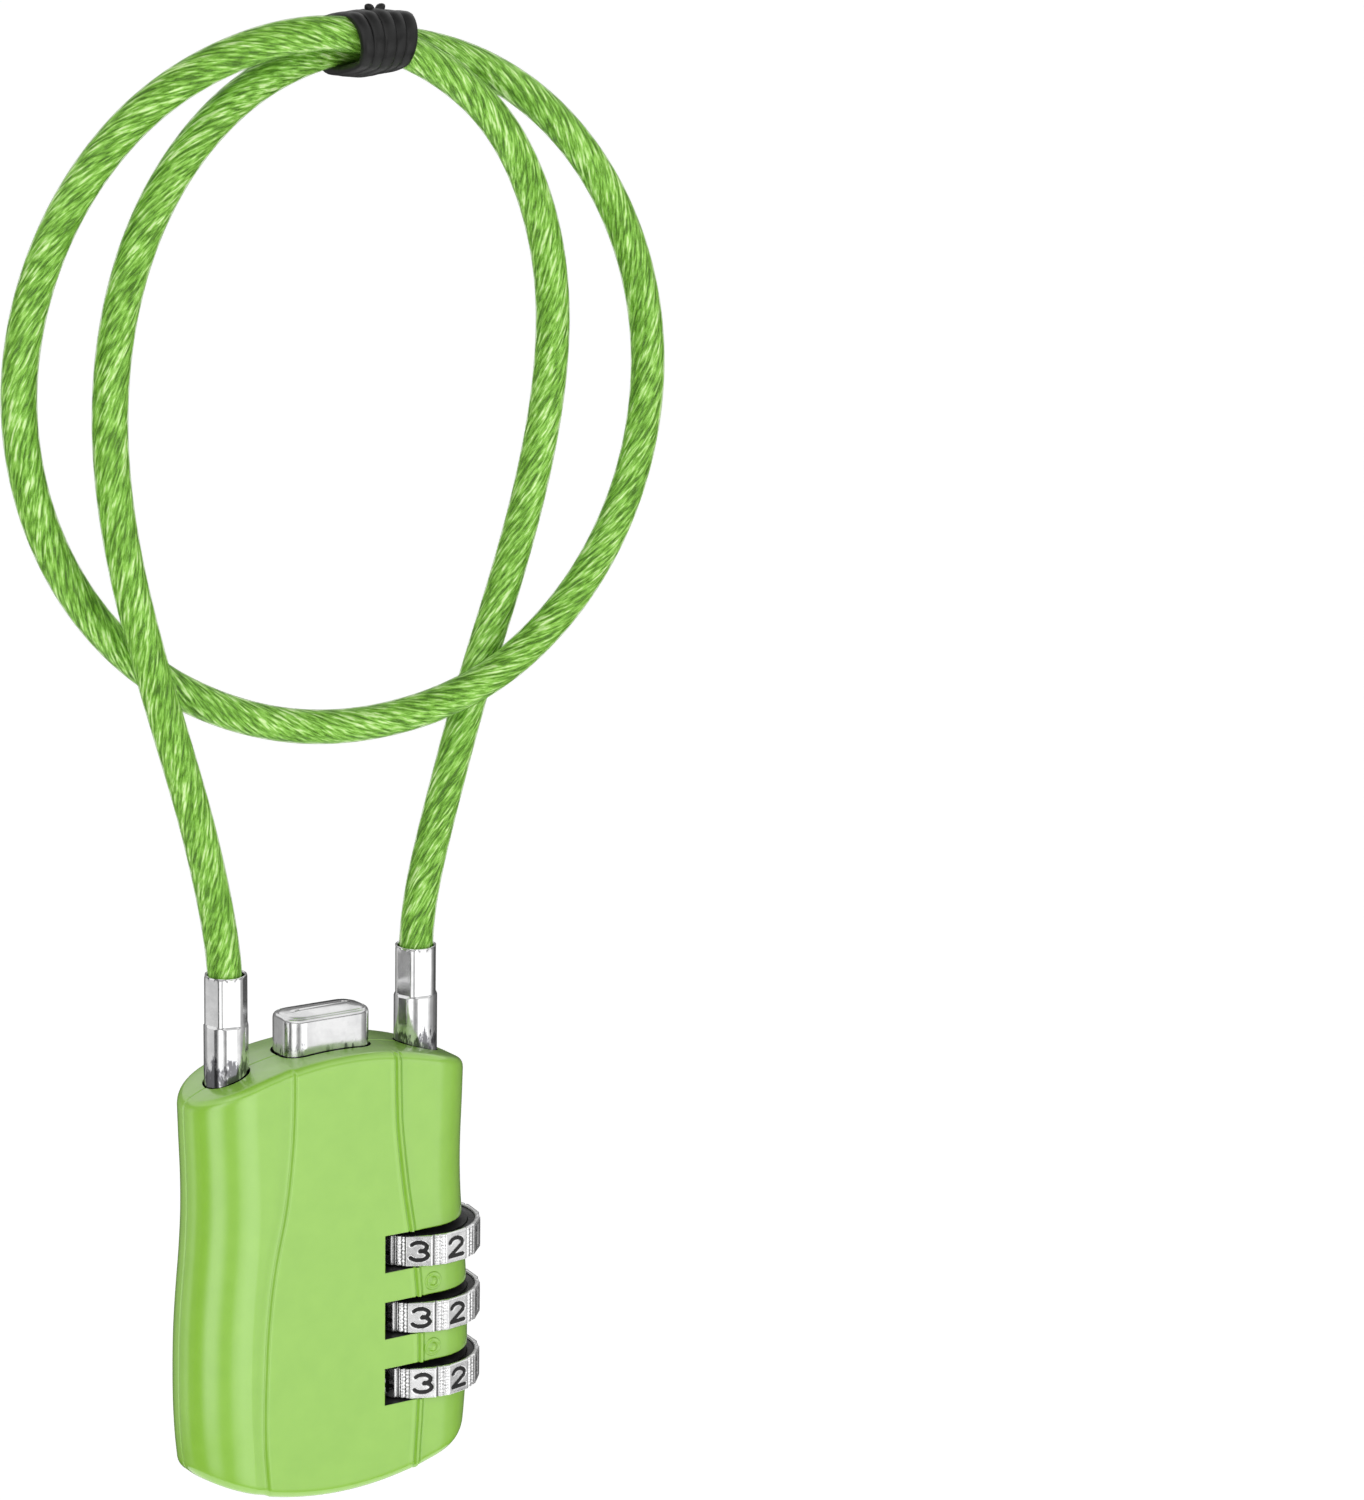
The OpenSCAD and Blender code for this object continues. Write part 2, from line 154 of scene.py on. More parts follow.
# ---------------- materials
class Look:
    """A Principled material with a few short calls for its nodes."""

    def __init__(self, name, **sockets):
        self.mat = bpy.data.materials.new(name)
        self.mat.use_nodes = True
        self.tree = self.mat.node_tree
        self.tree.nodes.clear()
        self.out = self.node("OutputMaterial")
        self.p = self.node("BsdfPrincipled")
        self.join(self.p.outputs[0], self.out.inputs[0])
        for key, value in sockets.items():
            self.p.inputs[key.replace("_", " ").title().replace("Ior", "IOR")].default_value = value
        self.place = self.node("TexCoord").outputs["Object"]

    def node(self, kind, **values):
        n = self.tree.nodes.new("ShaderNode" + kind)
        for key, value in values.items():
            if hasattr(n, key):
                setattr(n, key, value)
            else:
                n.inputs[key].default_value = value
        return n

    def join(self, a, b):
        self.tree.links.new(a, b)

    def noise(self, scale, detail=3.0, rough=0.5, stretch=None):
        n = self.node("TexNoise", Scale=scale, Detail=detail, Roughness=rough)
        if stretch:
            m = self.node("Mapping")
            m.inputs["Scale"].default_value = stretch
            self.join(self.place, m.inputs["Vector"])
            self.join(m.outputs[0], n.inputs["Vector"])
        else:
            self.join(self.place, n.inputs["Vector"])
        return n.outputs[0]

    def ramp(self, source, *stops):
        r = self.node("ValToRGB")
        while len(r.color_ramp.elements) < len(stops):
            r.color_ramp.elements.new(0.5)
        for e, (at, colour) in zip(r.color_ramp.elements, stops):
            e.position = at
            e.color = (*colour, 1) if hasattr(colour, "__len__") else (colour, colour, colour, 1)
        self.join(source, r.inputs[0])
        return r.outputs[0]

    def colour(self, source, *stops):
        self.join(self.ramp(source, *stops), self.p.inputs["Base Color"])

    def rough(self, source, *stops):
        self.join(self.ramp(source, *stops), self.p.inputs["Roughness"])

    def height(self, low, high):
        """0 at the lower height of the frame, in metres, and 1 at the higher."""
        parts = self.node("SeparateXYZ")
        self.join(self.place, parts.inputs[0])
        rise = self.node("MapRange")
        rise.inputs["From Min"].default_value, rise.inputs["From Max"].default_value = low, high
        self.join(parts.outputs[2], rise.inputs[0])
        return rise.outputs[0]

    def field(self, name):
        """A value that the mesh carries at its points."""
        source = self.node("Attribute")
        source.attribute_name = name
        return source.outputs["Fac"]

    def both(self, kind, operation, a, b):
        """Two sources through one Math or VectorMath node."""
        n = self.node(kind, operation=operation)
        self.join(a, n.inputs[0])
        self.join(b, n.inputs[1])
        return n.outputs[0]

    def mixed(self, fac, a, b):
        """Two colours mixed; the second is a source or a constant."""
        n = self.node("Mix")
        n.data_type = "RGBA"
        self.join(fac, n.inputs[0])
        self.join(a, n.inputs[6])
        if isinstance(b, tuple):
            n.inputs[7].default_value = b
        else:
            self.join(b, n.inputs[7])
        return n.outputs[2]

    def bump(self, source, strength, distance=0.0001):
        b = self.node("Bump", Strength=strength, Distance=distance)
        self.join(source, b.inputs["Height"])
        self.join(b.outputs[0], self.p.inputs["Normal"])
        return self


def paint_look():
    """Pearl green under a clear coat."""
    k = Look("pearl_green_paint", metallic=0.0, roughness=0.4, coat_weight=1.0, coat_roughness=0.16,
             coat_ior=1.9)
    k.colour(k.noise(420, 4), (0.3, (0.222, 0.478, 0.022)), (0.7, (0.24, 0.505, 0.028)))
    k.rough(k.noise(900, 2), (0.3, 0.3), (0.7, 0.4))
    k.bump(k.noise(2600, 2), 0.03, 0.00002)
    return k.mat


def chrome_look(name, base=0.86, low=0.1, high=0.26, scale=260, bumps=0.06, shade_band=None):
    """Plating with faint clouding; the last argument gives the heights (m) just over the case top between
    which painted shade, drawn as dark specks, thins out upwards.
    """
    k = Look(name, metallic=1.0)
    tone = k.ramp(k.noise(scale, 5, 0.65), (0.3, 0.78), (0.6, 1.0))
    if shade_band:
        # painted shade: dark specks on the chrome next to the case top, broken up by the noise and thinning
        # out upwards
        grain = k.ramp(k.noise(1500, 3, 0.7, (1, 1, 0.35)), (0.3, 0.0), (0.7, 1.0))
        shade_specks = k.both("Math", "ADD", k.height(*shade_band), grain)
        tone = k.both("Math", "MULTIPLY", tone, k.ramp(shade_specks, (0.5, 0.2), (0.8, 1.0)))
    k.colour(tone, (0.0, (0.02, 0.02, 0.022)), (0.5, (base * 0.45, base * 0.45, base * 0.47)),
             (1.0, (base, base, base)))
    k.rough(k.noise(scale * 3, 4, 0.65), (0.35, low), (0.75, high))
    k.bump(k.noise(scale * 2.2, 4, 0.6), bumps, 0.0001)
    return k.mat


def dial_look():
    """Bright plating with black filled into the engraved digits and painted shade laid into the strips'
    grooves: the mesh says where.
    """
    k = Look("dial_plating", metallic=1.0, roughness=0.16)
    plate = k.ramp(k.noise(700, 5, 0.7), (0.3, (0.74, 0.74, 0.74)), (0.62, (0.96, 0.96, 0.96)))
    fill = k.ramp(k.field("ink_and_shade"), (0.4, 0.0), (0.6, 1.0))
    k.join(k.mixed(fill, plate, (0.006, 0.006, 0.006, 1)), k.p.inputs["Base Color"])
    k.join(k.ramp(fill, (0.0, 1.0), (1.0, 0.0)), k.p.inputs["Metallic"])
    speckle = k.noise(1500, 3, 0.6)
    k.rough(speckle, (0.3, 0.16), (0.7, 0.36))
    k.bump(speckle, 0.12, 0.00003)
    return k.mat


def black_look(name, low, high, scale, bumps, tone=0.012):
    k = Look(name, metallic=0.0, specular_ior_level=0.35)
    n = k.noise(scale, 4, 0.6)
    k.colour(n, (0.3, (tone * 0.6,) * 3), (0.75, (tone * 1.8,) * 3))
    k.rough(n, (0.3, low), (0.7, high))
    k.bump(n, bumps, 0.0001)
    return k.mat


def metal_look(name, colour):
    """Plain machined metal, its grain drawn out along Z."""
    k = Look(name, metallic=1.0)
    n = k.noise(500, 4, 0.6, (1, 1, 9))
    k.colour(n, (0.3, tuple(c * 0.75 for c in colour)), (0.7, colour))
    k.rough(n, (0.3, 0.2), (0.7, 0.4))
    k.bump(n, 0.15, 0.00005)
    return k.mat


WIRE_AXES = ("wire_x", "wire_y", "wire_run")


def rope_look():
    """Twisted wires seen through green plastic, with painted shade in the gaps between strands and painted
    highlights on the crowns.
    """
    k = Look("wire_rope", metallic=0.2)
    spot = k.node("CombineXYZ")
    for i, axis in enumerate(WIRE_AXES):
        k.join(k.field(axis), spot.inputs[i])
    streak = k.node("TexNoise", Scale=3.6, Detail=3.0, Roughness=0.6)
    k.join(spot.outputs[0], streak.inputs["Vector"])
    # painted light: the streaks mix the wires' own varied tone with painted glints, and the strand field adds
    # painted shade in the gaps and painted highlights on the crowns
    tone = k.both("Math", "MULTIPLY", k.ramp(streak.outputs[0], (0.36, 0.2), (0.66, 1.0)),
                  k.ramp(k.field("strand_shade_and_highlight"), (0.0, 0.35), (0.85, 1.0)))
    k.colour(tone, (0.14, (0.05, 0.13, 0.006)), (0.34, (0.17, 0.38, 0.035)),
             (0.56, (0.40, 0.70, 0.15)), (0.8, (0.92, 1.0, 0.68)))
    k.rough(streak.outputs[0], (0.3, 0.5), (0.7, 0.3))
    k.bump(streak.outputs[0], 0.35, 0.00008)
    return k.mat


def jacket_look():
    """Clear green plastic: tinted see-through with a hard gloss."""
    k = Look("clear_green_jacket", roughness=0.05, ior=1.46)
    k.colour(k.noise(300, 3), (0.3, (0.17, 0.40, 0.05)), (0.7, (0.24, 0.50, 0.08)))
    k.rough(k.noise(700, 3), (0.3, 0.03), (0.7, 0.09))
    clear = k.node("BsdfTransparent")
    clear.inputs[0].default_value = (0.94, 1.0, 0.88, 1)
    facing = k.node("LayerWeight", Blend=0.35)
    amount = k.ramp(facing.outputs["Facing"], (0.0, 0.15), (0.6, 0.22), (0.82, 0.45), (0.95, 0.95))
    mix = k.node("MixShader")
    k.join(amount, mix.inputs[0])
    k.join(clear.outputs[0], mix.inputs[1])
    k.join(k.p.outputs[0], mix.inputs[2])
    k.join(mix.outputs[0], k.out.inputs[0])
    return k.mat


PAINT = paint_look()
SHADE_BAND = (-0.0990, -0.0958)  # heights in the frame just over the case's top, between which the painted shade on the chrome thins out
CHROME = chrome_look("bright_chrome", shade_band=SHADE_BAND)
DIAL = dial_look()
ROPE = rope_look()
JACKET = jacket_look()
RUBBER = black_look("black_elastic", 0.28, 0.5, 900, 0.3, 0.006)
BLACK_AND_POCKET_SHADE = black_look("black_moulding_and_pocket_shade", 0.35, 0.6, 700, 0.2)
STEEL = metal_look("plain_steel", (0.60, 0.60, 0.62))
SPRING = metal_look("blued_spring_steel", (0.30, 0.31, 0.36))
BRASS = metal_look("turned_brass", (0.72, 0.55, 0.25))
PLATED = chrome_look("plated_pin", 0.78, 0.15, 0.3, 400, 0.08)


# ---------------- camera
camera_data = bpy.data.cameras.new("camera")
camera = bpy.data.objects.new("camera", camera_data)
SCENE.collection.objects.link(camera)
SCENE.camera = camera
camera_data.lens = 113.85
camera_data.sensor_width = 36
camera_data.clip_start, camera_data.clip_end = 0.01, 60
SCENE.view_settings.view_transform = "Standard"
AIM, DOWN, ROLL = (math.radians(d) for d in (34.48, 12.917, 0.987))
forward = Vector((math.sin(AIM) * math.cos(DOWN), math.cos(AIM) * math.cos(DOWN), -math.sin(DOWN)))
level = Vector((math.cos(AIM), -math.sin(AIM), 0))
lift = level.cross(forward)
right = level * math.cos(ROLL) + lift * math.sin(ROLL)
up = right.cross(forward)
turn = Matrix((right, up, -forward)).transposed().to_4x4()
camera.matrix_world = Matrix.Translation((-0.2332, -0.4035, 0.0398)) @ turn


# ---------------- cable
# the route of part.scad from the free ferrule to the captive one, in metres
ROUTE = [
    (-0.0111, 0, -0.0947), (-0.0111, 0, -0.09), (-0.0123, -0.0006, -0.0833), (-0.0151, -0.0018, -0.0734),
    (-0.0184, -0.0027, -0.0637), (-0.0215, -0.003, -0.0538), (-0.0239, -0.003, -0.0437),
    (-0.0249, -0.0028, -0.0335), (-0.0239, -0.0025, -0.0232), (-0.0203, -0.0018, -0.0135),
    (-0.014, -0.0007, -0.0055), (-0.0054, 0.001, 0), (0.0045, 0.002, 0.0026), (0.0147, 0.002, 0.0017),
    (0.0241, 0.0014, -0.0025), (0.0315, 0.0006, -0.0096), (0.0364, 0, -0.0187), (0.0385, -0.0003, -0.0288),
    (0.0376, -0.0004, -0.039), (0.0338, -0.0004, -0.0486), (0.0273, -0.0004, -0.0566),
    (0.0187, -0.0003, -0.0623), (0.0088, 0.0002, -0.065), (-0.0015, 0.0009, -0.065),
    (-0.0114, 0.0014, -0.062), (-0.0201, 0.0017, -0.0565), (-0.0268, 0.0018, -0.0487),
    (-0.031, 0.0018, -0.0392), (-0.0322, 0.0018, -0.029), (-0.0303, 0.0016, -0.0189),
    (-0.0257, 0.0011, -0.0097), (-0.0187, 0, -0.0021), (-0.0097, -0.0014, 0.0027), (0.0004, -0.002, 0.0042),
    (0.0103, -0.002, 0.0014), (0.0187, -0.0015, -0.0045), (0.0245, -0.0002, -0.0129),
    (0.0278, 0.0014, -0.0226), (0.0285, 0.0029, -0.0328), (0.027, 0.0037, -0.043), (0.0241, 0.0039, -0.0529),
    (0.0203, 0.0034, -0.0625), (0.0165, 0.0023, -0.0721), (0.0129, 0.001, -0.0817),
    (0.0114, 0.0002, -0.0866), (0.0111, 0, -0.09), (0.0111, 0, -0.0947),
]
CABLE_D = 3.5
MOUTH = 12.85  # height of a ferrule's mouth


def resample(points, step):
    run = np.concatenate([[0], np.cumsum(np.linalg.norm(np.diff(points, axis=0), axis=1))])
    count = max(2, int(round(run[-1] / step)) + 1)
    at = np.linspace(0, run[-1], count)
    return np.stack([np.interp(at, run, points[:, k]) for k in range(3)], 1)


def spline(points, per=12):
    p = np.asarray(points, float)
    q = np.vstack([p[:1], p, p[-1:]])
    out = []
    for i in range(1, len(q) - 2):
        a, b, c, d = q[i - 1], q[i], q[i + 1], q[i + 2]
        for k in range(per):
            s = k / per
            out.append(0.5 * (2 * b + (c - a) * s + (2 * a - 5 * b + 4 * c - d) * s * s
                              + (3 * b - a - 3 * c + d) * s ** 3))
    out.append(q[-2])
    return np.array(out)


def bell_weights(sigma, step):
    """Half the number of weights, and the weights."""
    n = int(4 * sigma / step)
    w = np.exp(-0.5 * (np.arange(-n, n + 1) * step / sigma) ** 2)
    return n, w / w.sum()


def blur(points, sigma, step):
    n, w = bell_weights(sigma, step)
    padded = np.vstack([2 * points[0] - points[n:0:-1], points, 2 * points[-1] - points[-2:-n - 2:-1]])
    return np.stack([np.convolve(padded[:, k], w, "valid") for k in range(3)], 1)


LINE_STEP = 0.2


def cable_line():
    """The route as one even curve, mm from the case's reference level, with its bends evened out."""
    p = resample(spline(np.array(ROUTE) * 1000 + [0, 0, HANG]), 0.5)
    soft = blur(p, 4.0, 0.5)
    return resample(2 * soft - blur(soft, 4.0, 0.5), LINE_STEP)


LINE = cable_line()
drawn = np.where(LINE[:, 2] >= MOUTH - 1.6)[0]  # the cable ends 1.6 mm inside the ferrules' mouths
LINE = LINE[drawn[0]:drawn[-1] + 1]
# the tie's middle, and the two strands under it as (y, z)
TIE_X = 5.2
TIE_FRONT, TIE_BACK = (-2.0, 105.3), (2.0, 104.65)
split = int(np.argmin(np.linalg.norm(LINE[:len(LINE) // 3] - [TIE_X, *TIE_BACK], axis=1)))


def frames(line):
    """Two even side directions along a line, carried along without twist."""
    tangent = np.gradient(line, axis=0)
    tangent /= np.linalg.norm(tangent, axis=1)[:, None]
    u = np.cross(tangent[0], [0, 1, 0])
    u /= np.linalg.norm(u)
    us = []
    for t in tangent:
        u = u - t * (u @ t)
        u /= np.linalg.norm(u)
        us.append(u)
    us = np.array(us)
    return us, np.cross(tangent, us)


SIDE_U, SIDE_V = frames(LINE)
RUN = np.arange(len(LINE)) * LINE_STEP


def tube(name, part, radius, around, look, twist=0.0, fields=None, every=1):
    """A closed tube on a stretch of the cable; radius is a function of (angle index share, run)."""
    idx = np.arange(part[0], part[1] + 1, every)
    if idx[-1] != part[1]:
        idx = np.append(idx, part[1])
    share = np.arange(around) / around
    s = RUN[idx][:, None]
    angle = TAU * share[None, :] + twist * s
    r = radius(share[None, :], s)
    pts = (LINE[idx][:, None, :] + (r * np.cos(angle))[..., None] * SIDE_U[idx][:, None, :]
           + (r * np.sin(angle))[..., None] * SIDE_V[idx][:, None, :])
    pts = pts.reshape(-1, 3)
    n = len(idx)
    extra = {k: f(share[None, :], s) * np.ones((n, around)) for k, f in (fields or {}).items()}
    return add_mesh(name, pts, capped_faces(n, around), look, 60, fields=extra)


STRANDS = 8
LAY = 24.0      # length of one full twist
ROPE_R = 1.67   # drawn as wide as the round jacket makes the rope look


def strand_across(share):
    return 2 * ((share * STRANDS) % 1.0) - 1


def wire_wave(share, run):
    strand = np.floor(share * STRANDS)
    return np.cos(TAU * (run / 2.4 + 1.25 * strand_across(share) + strand * 0.37))


def rope_radius(share, run):
    u = strand_across(share)
    strand = ROPE_R * (0.89 + 0.11 * np.sqrt(1 - 0.9 * u * u))
    return strand + 0.03 * wire_wave(share, run) * (1 - 0.6 * u * u)


def rope_shade_and_highlight(share, run):
    """Painted light on the wires: painted shade between strands and a painted highlight along each wire's
    crown.
    """
    u = strand_across(share)
    strand = np.floor(share * STRANDS)
    drift = 0.10 * np.sin(run * 0.31 + strand * 2.1) + 0.06 * np.sin(run * 0.83 + strand * 1.3)
    return np.clip(0.56 - 0.34 * u ** 6 + 0.16 * wire_wave(share, run) + drift, 0, 1)


def wire_place(axis):
    """Where a point sits on the unrolled rope, squeezed along its length: the wires' own texture space."""
    if axis == "wire_run":
        return lambda share, run: 0.16 * run + 0 * share
    wave = math.cos if axis == "wire_x" else math.sin
    return lambda share, run: 1.6 * np.vectorize(wave)(TAU * share) + 0 * run


def jacket_radius(share, run):
    return CABLE_D / 2 + 0 * share * run


LEG = (0, split)
COIL = (split, len(LINE) - 1)
ropes = {}
jackets = {}
wires = {"strand_shade_and_highlight": rope_shade_and_highlight, **{axis: wire_place(axis) for axis in WIRE_AXES}}
for key, part in (("leg", LEG), ("coil", COIL)):
    ropes[key] = tube("rope_" + key, part, rope_radius, STRANDS * 8, ROPE, TAU / LAY, wires)
    jackets[key] = tube("jacket_" + key, part, jacket_radius, 40, JACKET, every=3)


for piece in (jackets["leg"], ropes["leg"]):
    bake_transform(piece)
for piece in (jackets["coil"], ropes["coil"]):
    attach(piece, "lock_case")
for key in ropes:
    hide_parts("cable_jacket")
    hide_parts("steel_rope")


# ---------------- case
T = 5.3  # half thickness at the flanks
PANEL_RISE = 0.35  # how far the middle panel stands proud
RIM = 0.85  # radius of the top and bottom edges
WINDOW_X = 4.25  # the windows' left end
WINDOW_LOW, WINDOW_HIGH = 1.79, 2.2  # a window's reach below and above its dial's middle
DIAL_X = 11.1  # the dials' axis, and the ferrules' place on either side
LEVELS = (-18.1, -25.3, -32.5)  # the dials' middles
TURNS = (-9, -7, -5)  # the dials' turns, degrees
LIP = 0.1  # radius of the windows' broken edge
SEAM_Y = 0.13  # half width of the groove between the shells
# at each height: the side's distance from the middle, the left step's and the bead's
SIDE_W = [(6, 16.1), (0, 16.1), (-4, 15.95), (-8, 15.75), (-12, 15.75), (-16, 16), (-20, 16.4), (-24, 16.7),
          (-28, 16.8), (-32, 16.8), (-36, 16.6), (-40, 16.1), (-44, 15.2)]
PANEL_W = [(6, 6.2), (0, 6.2), (-4, 6.35), (-8, 6.75), (-12, 7.3), (-16, 8.3), (-20, 8.95), (-24, 9.35),
           (-28, 9.55), (-32, 9.7), (-36, 9.7), (-40, 9.4), (-44, 9.0)]
BEAD_W = [(6, 5.7), (0, 5.75), (-4, 5.85), (-8, 6.3), (-12, 6.8), (-16, 7.5), (-20, 8.1), (-24, 8.45),
          (-28, 8.6), (-32, 8.6), (-36, 8.45), (-40, 8.15), (-44, 8.0)]
# one side's section: distance in from the edge, distance from the middle plane
SECTION = [(0, SEAM_Y), (0, 0.3), (0, 0.5), (0.03, 0.85), (0.1, 1.2), (0.22, 1.6), (0.42, 2.05), (0.7, 2.5),
           (1.05, 2.97), (1.45, 3.42), (1.95, 3.86), (2.5, 4.25), (3.1, 4.6), (3.75, 4.89), (4.4, 5.1),
           (5.0, 5.23), (5.5, 5.285)]
BAND = 2  # the columns of the flat side band


def soft_table(rows):
    """Heights and the softened values at them."""
    z = np.arange(-50, 10, 0.1)
    src = sorted(rows)
    v = np.interp(z, [a for a, _ in src], [b for _, b in src])
    n, w = bell_weights(1.4, 0.1)
    return z, np.convolve(np.pad(v, n, "edge"), w, "valid")


# each line's softened table, and the place along X where a row's height is read for it
LINES = [(soft_table(rows), x) for rows, x in ((SIDE_W, 16.0), (PANEL_W, -8.0), (BEAD_W, 8.0))]


def arch(x):
    """Height of the case's arched top."""
    return 3.9 - 36.9 + np.sqrt(36.9 ** 2 - x * x)


def base(x):
    """Height of its rounded bottom."""
    return -42.9 + 35 - np.sqrt(35 ** 2 - x * x)


def rim_drop(e):
    e = np.minimum(e, RIM)
    return RIM - np.sqrt(RIM ** 2 - (RIM - e) ** 2)


def lerp(a, b, n):
    """Column places evenly between two others."""
    return [(lambda w, p, q, f=f: a(w, p, q) * (1 - f) + b(w, p, q) * f) for f in (np.arange(1, n) / n)]


def case_columns():
    """Each column's place from (side, step, bead), its half thickness and its outward tilt."""
    cols = []
    sec = np.array(SECTION)
    slope = np.gradient(sec, axis=0)
    tilt = np.arctan2(slope[:, 1], slope[:, 0])  # 90 degrees on the flat side, 0 on the face
    for (d, y), t in zip(SECTION, tilt):
        cols.append(((lambda w, p, q, d=d: -w + d), y, -t))
    end = SECTION[-1][0]
    flat = lerp(lambda w, p, q: -w + end, lambda w, p, q: -p - 0.7, 11)
    steps = (-0.7, -0.58, -0.48, -0.38, -0.3, -0.23, -0.16, -0.1, -0.04, 0.02, 0.08, 0.14, 0.2, 0.3, 0.45,
             0.7, 1.0)
    flat += [(lambda w, p, q, o=o: -p + o) for o in steps]
    flat += lerp(lambda w, p, q: -p + steps[-1], lambda w, p, q: WINDOW_X - 0.4, 14)
    flat += [(lambda w, p, q, o=o: WINDOW_X - o) for o in (0.4, 0.2, 0.1, 0.06, 0.03, 0.01, -0.15)]
    beads = (-1.05, -0.9, -0.75, -0.6, -0.5, -0.42, -0.36, -0.3, -0.24, -0.18, -0.12, -0.06, 0, 0.06, 0.12,
             0.18, 0.24, 0.3, 0.36, 0.42, 0.5, 0.62, 0.78, 0.95, 1.15)
    flat += lerp(lambda w, p, q: WINDOW_X + 0.15, lambda w, p, q: q + beads[0], 3)
    flat += [(lambda w, p, q, o=o: q + o) for o in beads]
    flat += lerp(lambda w, p, q: q + beads[-1], lambda w, p, q: w - end, 5)
    cols += [(f, T, 0.0) for f in flat]
    for (d, y), t in reversed(list(zip(SECTION, tilt))):
        cols.append(((lambda w, p, q, d=d: w - d), y, t))
    return cols


def case_rows():
    """Each row as (kind, value): top and bottom rows follow the arches, the rest are level."""
    edge = [0, 0.03, 0.1, 0.2, 0.34, 0.55, RIM, 1.15, 1.6]
    near = []
    for z in LEVELS:
        for o in (0.01, 0.04, 0.08, 0.13, 0.18, 0.25, 0.4, -0.15):
            near += [z - WINDOW_LOW - o, z + WINDOW_HIGH + o]
    plain = [z for z in np.arange(-4, -36.6, -0.7) if min(abs(z - n) for n in near) > 0.22]
    rows = [("top", e) for e in edge]
    rows += [("top_mix", u) for u in (0.15, 0.3, 0.45, 0.6, 0.75, 0.88)]
    rows += [("level", z) for z in sorted(near + plain, reverse=True)]
    rows += [("base_mix", u) for u in (0.8, 0.6, 0.4, 0.2)]
    rows += [("base", e) for e in reversed(edge)]
    return rows


def row_height(kind, v, x):
    if kind == "level":
        return v + 0 * x
    if kind == "top":
        return arch(x) - v
    if kind == "top_mix":
        return (arch(x) - 1.6) * (1 - v) - 4 * v
    if kind == "base":
        return base(x) + v
    return (base(x) + 1.6) * (1 - v) - 36.4 * v


def relief(x, z, p, b, front):
    """How far the surface stands proud of the plain section; p and b are the step's and bead's places."""
    step = x + p
    out = PANEL_RISE * smooth((step + 0.22) / 0.4) - 0.09 * bell(step + 0.55, 0.4)
    o = x - b
    if front:
        # the bead in its two grooves, with the surface swelling a little towards it
        out = out + 0.07 * smooth((o + 1.1) / 0.8) - 0.07 * smooth((o - 0.3) / 0.9)
        out = out - 0.2 * (bell(o + 0.32, 0.08) + bell(o - 0.32, 0.08)) + 0.2 * bell(o, 0.17)
    else:
        out = out - PANEL_RISE * smooth((o + 0.18) / 0.4) - 0.07 * bell(o - 0.3, 0.1)
    # a broken edge round the windows
    for zi in LEVELS:
        d = np.maximum(WINDOW_X - x, np.maximum(z - zi - WINDOW_HIGH, zi - WINDOW_LOW - z))
        e = np.clip(d, 0, LIP)
        out = out - (LIP - np.sqrt(LIP ** 2 - (LIP - e) ** 2))
    return out


def shell_points(front):
    """The grid of points of one shell's outer face."""
    cols, rows = case_columns(), case_rows()
    n_r, n_c = len(rows), len(cols)
    pts = np.zeros((n_r, n_c, 3))
    sign = -1 if front else 1
    for r, (kind, v) in enumerate(rows):
        w, p, b = (np.interp(row_height(kind, v, x), *table) for table, x in LINES)
        e = v if kind in ("top", "base") else RIM
        drop = rim_drop(e)
        xs = np.array([float(f(w, p, b)) for f, _, _ in cols])
        ys = np.array([y for _, y, _ in cols])
        tilt = np.array([t for _, _, t in cols])
        q = (ys / T) ** 1.5
        xs = xs - np.sign(xs) * drop * (1 - q)
        z = row_height(kind, v, xs)
        out = relief(xs, z, p, b, front)
        out = np.where((ys < T - 1e-6) & (out > 0), out * smooth((ys - 2.4) / 2.8), out)
        y = ys - drop * q + out * np.cos(tilt)
        x = xs + out * np.sin(tilt)
        pts[r] = np.stack([x, sign * np.maximum(y, 0.03), z], 1)
    return pts


